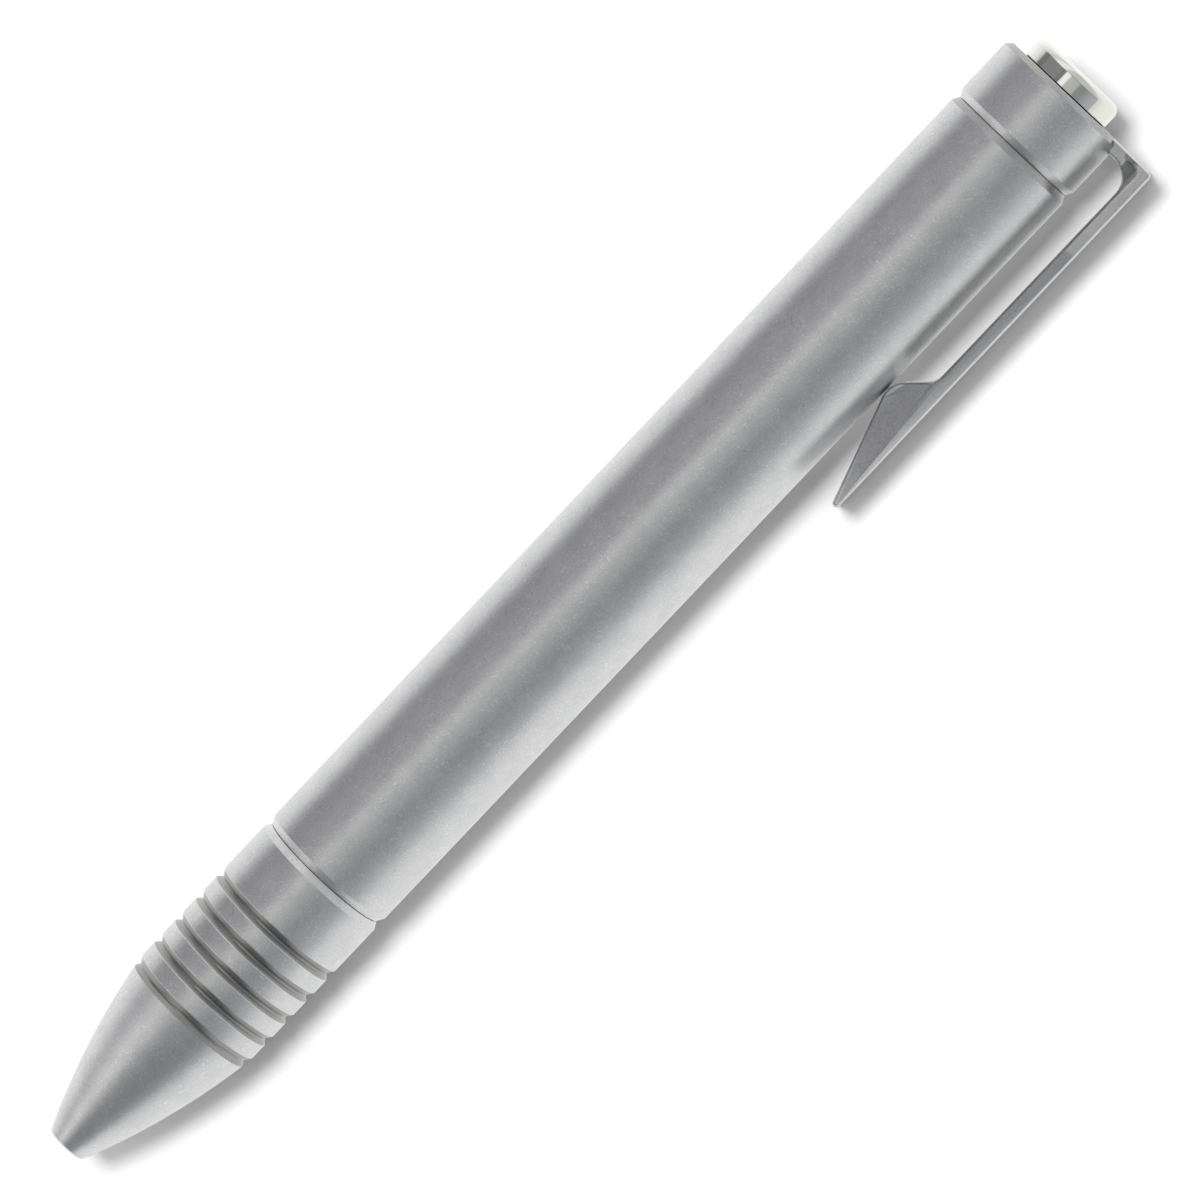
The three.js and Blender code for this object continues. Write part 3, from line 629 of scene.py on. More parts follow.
thread_start_gap = 0.35
thread_end_gap = 0.1
nose_thread = (nose_seal_end + thread_start_gap, spigot_end - spigot_chamfer - thread_end_gap)
nose = turned("nose_section_turned", rounded([
    (tip_radius - tip_edge, 0),
    (front_arc[0][0] + (front_arc[1][0] - front_arc[0][0]) * tip_edge / front_arc[1][1], tip_edge),
    *front_arc[1:],
    *[corner for station in grooves for corner in groove(station)][1:],
    (barrel_radius, nose_joint - joint_chamfer_length),
    (barrel_radius - joint_chamfer_depth, nose_joint - half_gap),
    (spigot_radius, nose_joint - half_gap),
    *seal_groove(spigot_radius, nose_seal),
    *[(spigot_radius, station, 0) for station in thread_stations(*nose_thread)],
    (spigot_radius, spigot_end - spigot_chamfer),
    (spigot_radius - spigot_chamfer, spigot_end),
    (refill_bore_radius, spigot_end, soft_edge),
    (refill_bore_radius, bore_step + refill_bore_radius - spring_bore_radius),
    (spring_bore_radius, bore_step),
    (spring_bore_radius, spring_seat),
    (tip_hole_radius, spring_seat),
    (tip_hole_radius, 0, tip_hole_edge),
]))
cut_thread(nose, spigot_radius, *nose_thread)
assemble(nose, "nose_section", titanium)

# %% The grooves' painted shade
def in_ring_groove(middle):
    """Whether a place lies on the wall of a ring groove."""
    deep = math.hypot(middle.x, middle.z) < barrel_radius - broken_edge
    return deep and any(abs(middle.y - station) < groove_width / 2 for station in grooves)


refinish(nose, titanium_painted_groove_shade, in_ring_groove)

# %% [markdown]
# ## Rubber rings
# An O-ring is a round rubber cord closed on itself. A torus primitive would do for a ring in the air, but
# these two are squeezed in their grooves, so the cord is drawn slightly flattened between the groove and
# the bore.

# %% The two sealing rings
seal_gap = 0.03
ring_points = 28
flattening = 1.08


def rubber_ring(name, node, groove_radius, bore_radius, station):
    """A ring between the floor of its groove and the wall of its bore."""
    cord = (bore_radius - groove_radius) / 2 - seal_gap
    middle = (bore_radius + groove_radius) / 2
    section = arc(0, 0, cord, 0, 2 * math.pi, ring_points)[:-1]
    outline = [(middle + x, station + y * flattening) for x, y in section]
    return assemble(turned(name, outline), node, rubber)


nose_socket_radius = 5.15
rubber_ring("nose_sealing_ring", "nose_o_ring", spigot_radius - seal_depth, nose_socket_radius, nose_seal)

# %% [markdown]
# ## The barrel and its slot
# The barrel is a turned tube, and the slot on its far side is milled: a channel along the pen with a notch
# at each end, into which the bolt's handle turns. The channel's walls are parallel, because one end mill
# cut them, and so a plain extrusion of a flat drawing would be wrong on a round tube. The cutter is lofted
# instead: the slot's outline is laid on cylinders of growing radius, and it widens at the surface, which
# cuts the chamfer along the slot's edge in the same stroke.

# %% The tube of the barrel
barrel_bore_radius = 3.5
bolt_bore_radius = 4.88
cap_socket_radius = 5.35
bolt_stroke = max(joints["bolt_push"]["range_m"]) / mm
bolt_room = 1.35
bolt_bore_front = bolt_front - bolt_stroke - bolt_room
socket_room = 0.4
nose_socket_end = spigot_end + socket_room
cap_spigot_length = 5.0
cap_spigot_front = cap_joint - cap_spigot_length
cap_socket_front = cap_spigot_front - socket_room
socket_thread_lead = 0.5
socket_thread_past = 0.2
socket_thread = (nose_seal_end + socket_thread_lead, spigot_end + socket_thread_past)

barrel = turned("barrel_turned", rounded([
    (barrel_radius - joint_chamfer_depth, nose_joint + half_gap),
    (barrel_radius, nose_joint + joint_chamfer_length),
    (barrel_radius, cap_joint - joint_chamfer_length),
    (barrel_radius - joint_chamfer_depth, cap_joint - half_gap),
    (cap_socket_radius, cap_joint - half_gap),
    (cap_socket_radius, cap_socket_front),
    (bolt_bore_radius, cap_socket_front),
    (bolt_bore_radius, bolt_bore_front),
    (barrel_bore_radius, bolt_bore_front),
    (barrel_bore_radius, nose_socket_end),
    (nose_socket_radius, nose_socket_end),
    *[(nose_socket_radius, station, 0) for station in reversed(thread_stations(*socket_thread))],
    (nose_socket_radius, nose_joint + half_gap),
]))
cut_thread(barrel, nose_socket_radius, *socket_thread, sign=1)

# %% The slot's outline and its lofted cutter
handle_points = [vertex.co - tip for vertex in frame["nodes"]["bolt_handle"].data.vertices]
handle_middle = sum(handle_points, Vector()) / len(handle_points)
handle_station = handle_middle.dot(along) / mm
handle_turn = math.atan2(handle_middle.dot(side), handle_middle.dot(out))
lock_turn = math.radians(max(joints["bolt_turn"]["range_deg"]))
stem_radius = 1.2
stem_play = 0.2
slot_half = stem_radius + stem_play
slot_chamfer = 0.22
tongue_corner = 0.3
notch_start_share = 0.75
turn_steps = 10
print("handle at", round(handle_station, 2), "turned", round(math.degrees(handle_turn), 1), "degrees")


def slot_outline(half):
    """The slot as (turn, offset across, station) points: a channel at turn 0, and a notch at either end."""
    rear, front = handle_station, handle_station - bolt_stroke
    notch_rest = 1 - notch_start_share
    notch_turns = [lock_turn * (notch_start_share + notch_rest * i / turn_steps) for i in range(turn_steps)]
    crossing_turns = [lock_turn * i / turn_steps for i in range(turn_steps)]
    corner = half + tongue_corner
    quarter = math.pi / 2
    notch_end = arc(0, 0, half, quarter, -quarter, 2 * turn_steps)
    rear_tongue = arc(corner, rear - corner, tongue_corner, quarter, 2 * quarter, turn_steps)
    front_tongue = arc(corner, front + corner, tongue_corner, 2 * quarter, 3 * quarter, turn_steps)
    return [
        *[(0, x, rear + y) for x, y in arc(0, 0, half, 2 * quarter, quarter, turn_steps)],
        *[(turn, 0, rear + half) for turn in crossing_turns[1:]],
        *[(lock_turn, x, rear + y) for x, y in notch_end],
        *[(turn, 0, rear - half) for turn in reversed(notch_turns)],
        *[(0, x, y) for x, y in rear_tongue + front_tongue],
        *[(turn, 0, front + half) for turn in notch_turns],
        *[(lock_turn, x, front + y) for x, y in notch_end],
        *[(turn, 0, front - half) for turn in reversed(crossing_turns[1:])],
        *[(0, x, front + y) for x, y in arc(0, 0, half, -quarter, -2 * quarter, turn_steps)],
    ]


def slot_cutter():
    """Lofts the slot's outline through cylinders about the pen's axis, wider outside the chamfer."""
    below, past, far = 0.4, 0.3, 1.6
    levels = [
        (bolt_bore_radius - below, 0),
        (barrel_radius - slot_chamfer, 0),
        (barrel_radius + past, slot_chamfer + past),
        (barrel_radius + far, slot_chamfer + past),
    ]
    bm = bmesh.new()
    rings = []
    for radius, widening in levels:
        ring = []
        for turn, offset, station in slot_outline(slot_half + widening):
            angle = handle_turn - turn
            deep = math.sqrt(radius ** 2 - offset ** 2)
            x = deep * math.cos(angle) + offset * math.sin(angle)
            z = deep * math.sin(angle) - offset * math.cos(angle)
            ring.append(bm.verts.new((x, station, z)))
        rings.append(ring)
    skin(bm, rings)
    for ring in (rings[0], rings[-1]):
        cap_face = bm.faces.new(ring)
        bmesh.ops.triangulate(bm, faces=[cap_face])
    return link("slot_cutter", bm)


cut(barrel, [slot_cutter()])
assemble(barrel, "barrel", titanium)

# %% [markdown]
# Two chamfers get a darker titanium with fewer marks than the tumbled bar beside them, which is painted
# shade on them: the barrel's at the cap's joint, and the one at the cap's end.

# %% The barrel's rear chamfer
surface_slack = 0.01


def on_rear_chamfer(middle):
    """Whether a place lies on the chamfer at the barrel's rear joint."""
    outside = math.hypot(middle.x, middle.z) > barrel_radius - joint_chamfer_depth - surface_slack
    return outside and cap_joint - joint_chamfer_length < middle.y < cap_joint


refinish(barrel, titanium_painted_chamfer_shade, on_rear_chamfer)

# %% [markdown]
# ## The tail cap
# The cap screws into the barrel and closes it round the bolt. It is turned as the barrel is, and then a
# slot is milled from its end for the clip's arm, with two small holes for the dowels that hold it.

# %% The cap
cap_bore_radius = 4.6
cap_spigot_radius = 5.3
cap_end_chamfer = 0.5
cap_spigot_chamfer = 0.3
cap_thread_lead = 0.5
cap_thread_relief = 0.9
cap_thread = (cap_spigot_front + cap_thread_lead, cap_joint - cap_thread_relief)
clip_thickness = 1.25
arm_half_width = 1.6
tang_clearance = 0.06
pin_radius = 0.4
pin_clearance = 0.05
pin_hole_radius = pin_radius + pin_clearance
pin_length = 3.9
pin_sunk = 0.1
pin_out = (cap_bore_radius + barrel_radius) / 2
pin_sides = {"clip_pin_left": 0.95, "clip_pin_right": -0.95}
overrun = 1.0


def pin_hole(offset, radius, depth):
    """A round cutter along the pen, from past the cap's end down to a depth below it."""
    low, high = cap_end - depth, cap_end + overrun
    hole = turned("pin_hole", [(0, low), (radius, low), (radius, high), (0, high)], small_segments)
    hole.data.transform(Matrix.Translation((pin_out, 0, offset)))
    return hole


def tang_slot():
    """A square cutter for the arm's slot in the cap's end."""
    bm = bmesh.new()
    bmesh.ops.create_cube(bm, size=1)
    deep = clip_thickness + tang_clearance
    size = Vector((barrel_radius + overrun, deep + overrun, 2 * (arm_half_width + tang_clearance)))
    middle = Vector((size.x / 2, cap_end + (overrun - deep) / 2, 0))
    bmesh.ops.transform(bm, matrix=Matrix.LocRotScale(middle, None, size), verts=bm.verts)
    return link("tang_slot", bm)


cap = turned("tail_cap_turned", rounded([
    (cap_spigot_radius - cap_spigot_chamfer, cap_spigot_front),
    (cap_spigot_radius, cap_spigot_front + cap_spigot_chamfer),
    *[(cap_spigot_radius, station, 0) for station in thread_stations(*cap_thread)],
    (cap_spigot_radius, cap_joint + half_gap),
    (barrel_radius - joint_chamfer_depth, cap_joint + half_gap),
    (barrel_radius, cap_joint + joint_chamfer_length),
    (barrel_radius, cap_end - cap_end_chamfer),
    (barrel_radius - cap_end_chamfer, cap_end),
    (cap_bore_radius, cap_end),
    (cap_bore_radius, cap_spigot_front),
]))
cut_thread(cap, cap_spigot_radius, *cap_thread)
cap_hole_depth = pin_length + pin_sunk + pin_clearance
cap_holes = [pin_hole(offset, pin_hole_radius, cap_hole_depth) for offset in pin_sides.values()]
cut(cap, [tang_slot()] + cap_holes)
assemble(cap, "tail_cap", titanium)


def on_end_chamfer(middle):
    """Whether a place lies on the chamfer at the cap's end."""
    reached = math.hypot(middle.x, middle.z) + middle.y
    return reached > barrel_radius + cap_end - cap_end_chamfer - surface_slack


refinish(cap, titanium_painted_chamfer_shade, on_end_chamfer)

# %% [markdown]
# ## The pocket clip
# The clip is milled from one bar: a square arm out of the cap, a long flat strip, and a foot that bends in
# to touch the barrel. Its profile is cut first, then its sides: the arm is narrower than the strip, and a
# long fillet joins the two. A box with modifiers would lose that fillet. Here the profile is an outline,
# rings of it step inwards to make the broken edges, and the flat sides are filled by a triangulation whose
# points then rise or sink to the clip's width at their place. The fillet gets a darker titanium, which is
# painted shade beside the arm.

# %% The clip's profile
clip_outer = reach("pocket_clip", out)[1]
clip_inner = clip_outer - clip_thickness
clip_end = reach("pocket_clip", along)[0]
tang_end = reach("pocket_clip", out)[0]
outer_corner = 0.5
inner_corner = 2.05
foot_crest = 2.1
foot_from_end = 28.2
foot_station = cap_end - foot_from_end
foot_gap = 0.05
foot_slope = math.radians(45)
foot_root = 1.47
end_radius = 0.33
root_step = 0.14
root_step_run = 0.3
root_step_from_end = 9.3
root_step_station = cap_end - root_step_from_end
fine_steps = 20


def clip_profile():
    """The whole profile: tang, arm, inner corner, strip, foot, end and outer corner."""
    arm_under = cap_end - clip_thickness
    crest_x = barrel_radius + foot_gap + foot_crest
    end_x = clip_outer - end_radius
    end_y = clip_end + end_radius
    lean = math.atan2(end_x - crest_x, foot_station - end_y)
    lean += math.asin((foot_crest - end_radius) / math.hypot(end_x - crest_x, foot_station - end_y))
    slope_x = crest_x - foot_crest * math.cos(foot_slope)
    slope_y = foot_station + foot_crest * math.sin(foot_slope)
    root_y = slope_y + (clip_inner - slope_x) / math.tan(foot_slope) + foot_root * math.tan(foot_slope / 2)
    quarter = math.pi / 2
    return [
        (tang_end, cap_end),
        (tang_end, arm_under),
        *arc(clip_inner - inner_corner, arm_under - inner_corner, inner_corner, quarter, 0, fine_steps),
        (clip_inner, root_step_station),
        (clip_inner, root_step_station - root_step_run),
        *arc(clip_inner - foot_root, root_y, foot_root, 0, -foot_slope, fine_steps),
        *arc(crest_x, foot_station, foot_crest, math.pi - foot_slope, math.pi + lean, fine_steps),
        *arc(end_x, end_y, end_radius, math.pi + lean, 2 * math.pi, fine_steps),
        (clip_outer, root_step_station - root_step_run),
        (clip_outer, root_step_station),
        *arc(clip_outer - outer_corner, cap_end - outer_corner, outer_corner, 0, quarter, fine_steps),
    ]


# %% The clip's width from place to place
strip_half_width = reach("pocket_clip", side)[1]
crease_slope = math.radians(30)
shoulder_slope = math.radians(60)
shoulder_radius = 0.5
shoulder_end = 0.34
shoulder_rise = shoulder_radius * (1 - math.cos(shoulder_slope))
shoulder_run = shoulder_radius * math.sin(shoulder_slope)
fillet_radius = (strip_half_width - arm_half_width - shoulder_rise) / (
    math.cos(crease_slope) - math.cos(shoulder_slope))
fillet_run = fillet_radius * (math.sin(shoulder_slope) - math.sin(crease_slope))
crease = clip_inner + shoulder_end - shoulder_run - fillet_run
pocket_corner = 0.42
pocket_wall = 0.5
pocket_top = cap_end - pocket_wall
arm_edge = 0.24
strip_edge = 0.3


def half_width(x, station):
    """Half the clip's width: the strip with its root step, a rounded shoulder, a long fillet, and the arm."""
    past_corner = min(max(station - pocket_top + pocket_corner, 0), pocket_corner)
    shift = pocket_corner - math.sqrt(pocket_corner ** 2 - past_corner ** 2)
    inward = clip_inner + shoulder_end - shift - x
    if inward <= 0:
        past_root = min(max((root_step_station - station) / root_step_run, 0), 1)
        return strip_half_width - root_step * past_root
    if inward < shoulder_run:
        return strip_half_width - shoulder_radius + math.sqrt(shoulder_radius ** 2 - inward ** 2)
    past_crease = shoulder_run + fillet_run - inward
    if past_crease > 0:
        slope = math.asin(math.sin(crease_slope) + past_crease / fillet_radius)
        return arm_half_width + fillet_radius * (math.cos(crease_slope) - math.cos(slope))
    return arm_half_width


def edge_radius(x, station):
    """How far the clip's edges are broken: a little less along the arm than along the strip."""
    share = (half_width(x, station) - arm_half_width) / (strip_half_width - arm_half_width)
    return arm_edge + (strip_edge - arm_edge) * share


# %% [markdown]
# Three narrow facets break the clip's edges. Each pair below is how far a ring is stepped in from the
# profile, and how far it lies below the clip's full width there, both as shares of the edge's radius. So
# the first ring lies on the profile, and the last one on the clip's side.

# %% The clip's mesh
edge_shares = [(0, 1), (0.05, 0.9), (0.64, 0.06), (0.74, 0)]
fill_spacing = 0.13
inside_only = 1
same_place = 1e-6


def inward_normals(outline):
    """The direction into the profile at each of its points, longer at corners so that edges stay parallel."""
    normals = []
    for i, point in enumerate(outline):
        here = Vector(point)
        before = (here - Vector(outline[i - 1])).normalized()
        after = (Vector(outline[(i + 1) % len(outline)]) - here).normalized()
        sum_of_both = Vector((-before.y, before.x)) + Vector((-after.y, after.x))
        normals.append(sum_of_both / (1 + before.dot(after)))
    return normals


def fill_points(edge_loop):
    """Extra points inside the arm and the fillet, where the side isn't flat."""
    lowest = cap_end - clip_thickness - inner_corner
    before_crease = int((crease - tang_end) / fill_spacing)
    past_crease = int((clip_outer - crease) / fill_spacing)
    below_pocket_top = int((pocket_top - lowest) / fill_spacing)
    above_pocket_top = int((cap_end - pocket_top) / fill_spacing)
    inside = []
    for i in range(-before_crease, past_crease):
        for k in range(-below_pocket_top, above_pocket_top):
            point = Vector((crease + i * fill_spacing, pocket_top + k * fill_spacing))
            if min((point - corner).length for corner in edge_loop) > fill_spacing / 2:
                inside.append(point)
    return inside


def pocket_clip():
    """The clip's mesh: broken edges, two filled sides and the wall between them."""
    outline = clip_profile()
    normals = inward_normals(outline)
    count = len(outline)
    bm = bmesh.new()
    walls = []
    for sign in (1, -1):
        rings = []
        for inset_share, drop_share in edge_shares:
            ring = []
            for point, normal in zip(outline, normals):
                radius = edge_radius(*point)
                x, station = Vector(point) + normal * radius * inset_share
                height = half_width(x, station) - radius * drop_share
                ring.append(bm.verts.new((x, station, sign * height)))
            rings.append(ring)
        walls.append(rings[0])
        skin(bm, rings)
        loop = [Vector((vertex.co.x, vertex.co.y)) for vertex in rings[-1]]
        places = loop + fill_points(loop)
        filled = delaunay_2d_cdt(places, [], [list(range(count))], inside_only, same_place)
        corners = []
        for k, place in enumerate(filled[0]):
            source = filled[3][k]
            if source and source[0] < count:
                corners.append(rings[-1][source[0]])
            else:
                corners.append(bm.verts.new((place.x, place.y, sign * half_width(place.x, place.y))))
        for face in filled[2]:
            bm.faces.new([corners[k] for k in face])
    skin(bm, walls)
    loose = [vertex for vertex in bm.verts if not vertex.link_faces]
    bmesh.ops.delete(bm, geom=loose, context="VERTS")
    return link("pocket_clip_milled", bm)


clip = pocket_clip()
clip_hole_depth = clip_thickness + overrun
cut(clip, [pin_hole(offset, pin_hole_radius, clip_hole_depth) for offset in pin_sides.values()])
assemble(clip, "pocket_clip", clip_titanium)


def in_pocket(middle):
    """Whether a place lies on the fillet beside the arm."""
    lowest = cap_end - clip_thickness - inner_corner
    on_fillet = crease < middle.x < clip_inner + shoulder_end and lowest < middle.y < pocket_top
    height = half_width(middle.x, middle.y)
    on_side = abs(abs(middle.z) - height) < 2 * surface_slack
    return on_fillet and on_side and height < strip_half_width - surface_slack


refinish(clip, titanium_painted_pocket_shade, in_pocket)

# %% [markdown]
# ## The clip's dowels
# Two small steel dowels go through the tang into the cap and hold the clip. A dowel is a short rod with
# both of its ends chamfered, so that it starts easily in its hole.

# %% The two dowels
pin_chamfer = 0.1
pin_front, pin_rear = cap_end - pin_sunk - pin_length, cap_end - pin_sunk
for node, offset in pin_sides.items():
    pin = turned(node.replace("clip_pin", "clip_dowel"), rounded([
        (0, pin_front, 0),
        (pin_radius - pin_chamfer, pin_front),
        (pin_radius, pin_front + pin_chamfer),
        (pin_radius, pin_rear - pin_chamfer),
        (pin_radius - pin_chamfer, pin_rear),
        (0, pin_rear, 0),
    ], edge=fine_edge), small_segments)
    pin.data.transform(Matrix.Translation((pin_out, 0, offset)))
    assemble(pin, node, steel)

# %% [markdown]
# ## The bolt
# The bolt is one steel rod. Its front has a socket that seats the refill's tail, a groove further back
# holds the second rubber ring, and a step lets its thinner end pass through the cap, where it shows as the
# polished tail button. The button's edge is a quarter round of 0.85 mm, which a fine arc draws. A narrow
# groove at its foot gets a dark steel, painted shade that draws the line parting the button from the cap.

# %% The bolt and its ring
bolt_radius = 4.8
button_radius = 4.5
button_edge = 0.85
foot_groove_width = 0.11
foot_groove_depth = 0.2
foot_groove_edge = 0.02
bolt_front_chamfer = 0.3
bolt_shoulder_gap = 0.3
bolt_shoulder_edge = 0.12
bolt_shoulder = cap_spigot_front - bolt_shoulder_gap
bolt_seal_from_front = 4.6
bolt_seal = bolt_front + bolt_seal_from_front
refill_socket_radius = 3.05
refill_socket_depth = 2.8
stem_depth = 2.4
stem_hole_clearance = 0.06
stem_hole_past = 0.3
quarter_round_steps = 16

bolt = turned("bolt_turned", rounded([
    (0, bolt_front + refill_socket_depth, 0),
    (refill_socket_radius, bolt_front + refill_socket_depth),
    (refill_socket_radius, bolt_front, soft_edge),
    (bolt_radius - bolt_front_chamfer, bolt_front),
    (bolt_radius, bolt_front + bolt_front_chamfer),
    *seal_groove(bolt_radius, bolt_seal),
    (bolt_radius, bolt_shoulder, bolt_shoulder_edge),
    (button_radius, bolt_shoulder),
    (button_radius, cap_end, 0),
    (button_radius - foot_groove_depth, cap_end, 0),
    (button_radius - foot_groove_depth, cap_end + foot_groove_width, 0),
    (button_radius, cap_end + foot_groove_width, foot_groove_edge),
    (button_radius, button_end, button_edge),
    (0, button_end, 0),
], steps=quarter_round_steps))


def along_handle(piece):
    """Swings a piece that was turned about the pen's axis round to the handle's own axis."""
    direction = Vector((math.cos(handle_turn), 0, math.sin(handle_turn)))
    swing = Vector((0, 1, 0)).rotation_difference(direction).to_matrix().to_4x4()
    piece.data.transform(Matrix.Translation((0, handle_station, 0)) @ swing)
    return piece


hole_radius = stem_radius + stem_hole_clearance
hole_floor = bolt_radius - stem_depth - stem_hole_past
stem_hole = turned("stem_hole", [
    (0, hole_floor),
    (hole_radius, hole_floor),
    (hole_radius, bolt_radius + overrun),
    (0, bolt_radius + overrun),
], small_segments)
cut(bolt, [along_handle(stem_hole)])
assemble(bolt, "bolt_body", steel)
rubber_ring("bolt_sealing_ring", "bolt_o_ring", bolt_radius - seal_depth, bolt_bore_radius, bolt_seal)


def in_foot_groove(middle):
    """Whether a place lies in the narrow groove at the button's foot."""
    radius = math.hypot(middle.x, middle.z)
    deep = button_radius - foot_groove_depth - surface_slack < radius < button_radius
    return deep and -surface_slack < middle.y - cap_end < foot_groove_width + surface_slack


# The groove at the button's foot gets its painted shade.
refinish(bolt, steel_painted_groove_shade, in_foot_groove)

# %% [markdown]
# ## The bolt's handle
# The handle is a small turned knob on a stem that screws into the bolt. The thumb slides it, so its edges
# are well rounded, its top is slightly domed, and two fine rings round it give some grip.

# %% The handle
knob_radius = 1.75
knob_gap = 0.25
knob_height = 2.09
knob_foot = barrel_radius + knob_gap
knob_top = knob_foot + knob_height
knob_edge = 0.4
knob_foot_edge = 0.3
knob_dome = 0.14
stem_edge = 0.15
stem_corner = 0.1
ring_cut_heights = (0.8, 1.25)
ring_cut_width = 0.22
ring_cut_depth = 0.12
dome_steps = 8

dome_radius = (knob_radius ** 2 + knob_dome ** 2) / (2 * knob_dome)
dome_turn = math.asin(knob_radius / dome_radius)
dome = arc(0, knob_top - dome_radius, dome_radius, math.pi / 2 - dome_turn, math.pi / 2, dome_steps)
knob_cuts = [corner for station in [knob_foot + height for height in ring_cut_heights] for corner in (
    (knob_radius, station - ring_cut_width / 2, fine_edge),
    (knob_radius - ring_cut_depth, station, fine_edge),
    (knob_radius, station + ring_cut_width / 2, fine_edge),
)]
handle = turned("bolt_handle_knob", rounded([
    (0, bolt_radius - stem_depth, 0),
    (stem_radius, bolt_radius - stem_depth, stem_edge),
    (stem_radius, knob_foot, stem_corner),
    (knob_radius, knob_foot, knob_foot_edge),
    *knob_cuts,
    (*dome[0], knob_edge),
    *[(x, y, 0) for x, y in dome[1:-1]],
    (0, knob_top, 0),
]), 2 * small_segments)
assemble(along_handle(handle), "bolt_handle", steel)

# %% [markdown]
# ## The refill
# The refill is a common metal one: a drawn steel tube necked down at its front, a turned nickel silver tip
# with a carbide ball in it, and a plastic plug in its tail. It shows when the nose is off, so each piece
# has its real steps. The tip's cone ends in a thin rim that is rolled over the ball.

# %% The refill's tube and plug
refill_radius = 2.95
refill_neck_radius = 2.2
refill_wall = 0.35
refill_bore = refill_radius - refill_wall
refill_neck_length = 2.0
refill_shoulder_length = 1.0
refill_shoulder = refill_neck_station + refill_neck_length
tube_start = refill_shoulder + refill_shoulder_length
tube_end = reach("refill_body", along)[1]
tip_shank_radius = 1.15
refill_fit = 0.05

tube = turned("refill_tube_drawn", rounded([
    (refill_neck_radius, refill_neck_station, 0.2),
    (refill_neck_radius, refill_shoulder, 0.5),
    (refill_radius, tube_start, 0.7),
    (refill_radius, tube_end, 0.1),
    (refill_bore, tube_end),
    (refill_bore, tube_start + refill_wall, 0.4),
    (tip_shank_radius + refill_fit, refill_shoulder + refill_shoulder_length / 2),
    (tip_shank_radius + refill_fit, refill_neck_station),
]), 2 * small_segments)
assemble(tube, "refill_body", tube_steel)

plug_front, plug_rear = reach("refill_plug", along)
plug_radius = 2.8
plug_shank_radius = refill_bore - refill_fit
plug_shank_length = 3.0
plug_crown = 0.8
vent_radius = 0.6
vent_depth = 4.0
plug = turned("refill_plug_moulded", rounded([
    (0, plug_front, 0),
    (plug_shank_radius, plug_front, 0.25),
    (plug_shank_radius, plug_front + plug_shank_length),
    (plug_radius, plug_front + plug_shank_length, 0.12),
    (plug_radius, plug_rear - plug_crown, 0.3),
    (plug_radius - plug_crown / 2, plug_rear, 0.2),
    (vent_radius, plug_rear, 0.08),
    (vent_radius, plug_rear - vent_depth),
    (0, plug_rear - vent_depth, 0),
]), 2 * small_segments)
assemble(plug, "refill_plug", acetal)

# %% The refill's tip and ball
tip_front, tip_rear = reach("refill_tip", along)
tip_cone_length = 2.6
tip_nose_radius = 0.62
tip_step_depth = 0.25
tip_step_length = 0.6
ball_front, ball_rear = reach("refill_ball", along)
ball_radius = (ball_rear - ball_front) / 2
ball_play = 0.03
cup_radius = ball_radius + ball_play
ink_radius = 0.3

refill_tip = turned("refill_tip_turned", rounded([
    (tip_nose_radius, tip_front, 0.04),
    (tip_shank_radius - tip_step_depth, tip_front + tip_cone_length - tip_step_length, 0.3),
    (tip_shank_radius, tip_front + tip_cone_length),
    (tip_shank_radius, tip_rear, 0.15),
    (ink_radius, tip_rear),
    (ink_radius, ball_rear + ball_play),
    (cup_radius, ball_rear + ball_play, 0.15),
    (cup_radius, tip_front, fine_edge),
]), 2 * small_segments)
assemble(refill_tip, "refill_tip", tip_metal)

ball_outline = arc(0, (ball_front + ball_rear) / 2, ball_radius, -math.pi / 2, math.pi / 2, fine_steps)
ball = turned("refill_ball_ground", ball_outline, small_segments)
assemble(ball, "refill_ball", carbide)

# %% [markdown]
# ## The return spring
# The spring sits round the refill's tip and pushes the refill and the bolt back. It is wound with its last
# turn at each end closed, so that it stands square on its seat. A curve with a round bevel could draw it,
# but the spring has to shorten when the bolt is pushed, and only a mesh can be squashed along a joint.

# %% Winding the spring
wire_radius = 0.2
wire_gap = 0.03
coil_clearance = 0.3
coil_radius = spring_bore_radius - coil_clearance - wire_radius
spring_turns = 7
closed_turns = 1
closed_pitch = 2 * wire_radius + wire_gap
steps_per_turn = 36
wire_sides = 14
spring_front, spring_rear = reach("return_spring", along)


def spring_rise(turns):
    """How far the wire's centre has climbed after this many turns."""
    climb = spring_rear - spring_front - 2 * wire_radius
    open_pitch = (climb - 2 * closed_turns * closed_pitch) / (spring_turns - 2 * closed_turns)
    first = min(turns, closed_turns) * closed_pitch
    middle = min(max(turns - closed_turns, 0), spring_turns - 2 * closed_turns) * open_pitch
    last = max(turns - spring_turns + closed_turns, 0) * closed_pitch
    return first + middle + last


def wound_spring():
    """The spring's mesh: a round wire that climbs about the pen's axis, with a flat face at either end."""
    bm = bmesh.new()
    rings = []
    for step in range(spring_turns * steps_per_turn + 1):
        turns = step / steps_per_turn
        angle = 2 * math.pi * turns
        outwards = Vector((math.cos(angle), 0, math.sin(angle)))
        centre = outwards * coil_radius + Vector((0, spring_front + wire_radius + spring_rise(turns), 0))
        ring = []
        for k in range(wire_sides):
            turn = 2 * math.pi * k / wire_sides
            around_wire = outwards * math.cos(turn) + Vector((0, math.sin(turn), 0))
            ring.append(bm.verts.new(centre + wire_radius * around_wire))
        rings.append(ring)
    skin(bm, rings)
    bm.faces.new(rings[0])
    bm.faces.new(rings[-1])
    return link("return_spring_wound", bm)


spring = assemble(wound_spring(), "return_spring", wire_steel)
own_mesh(spring)

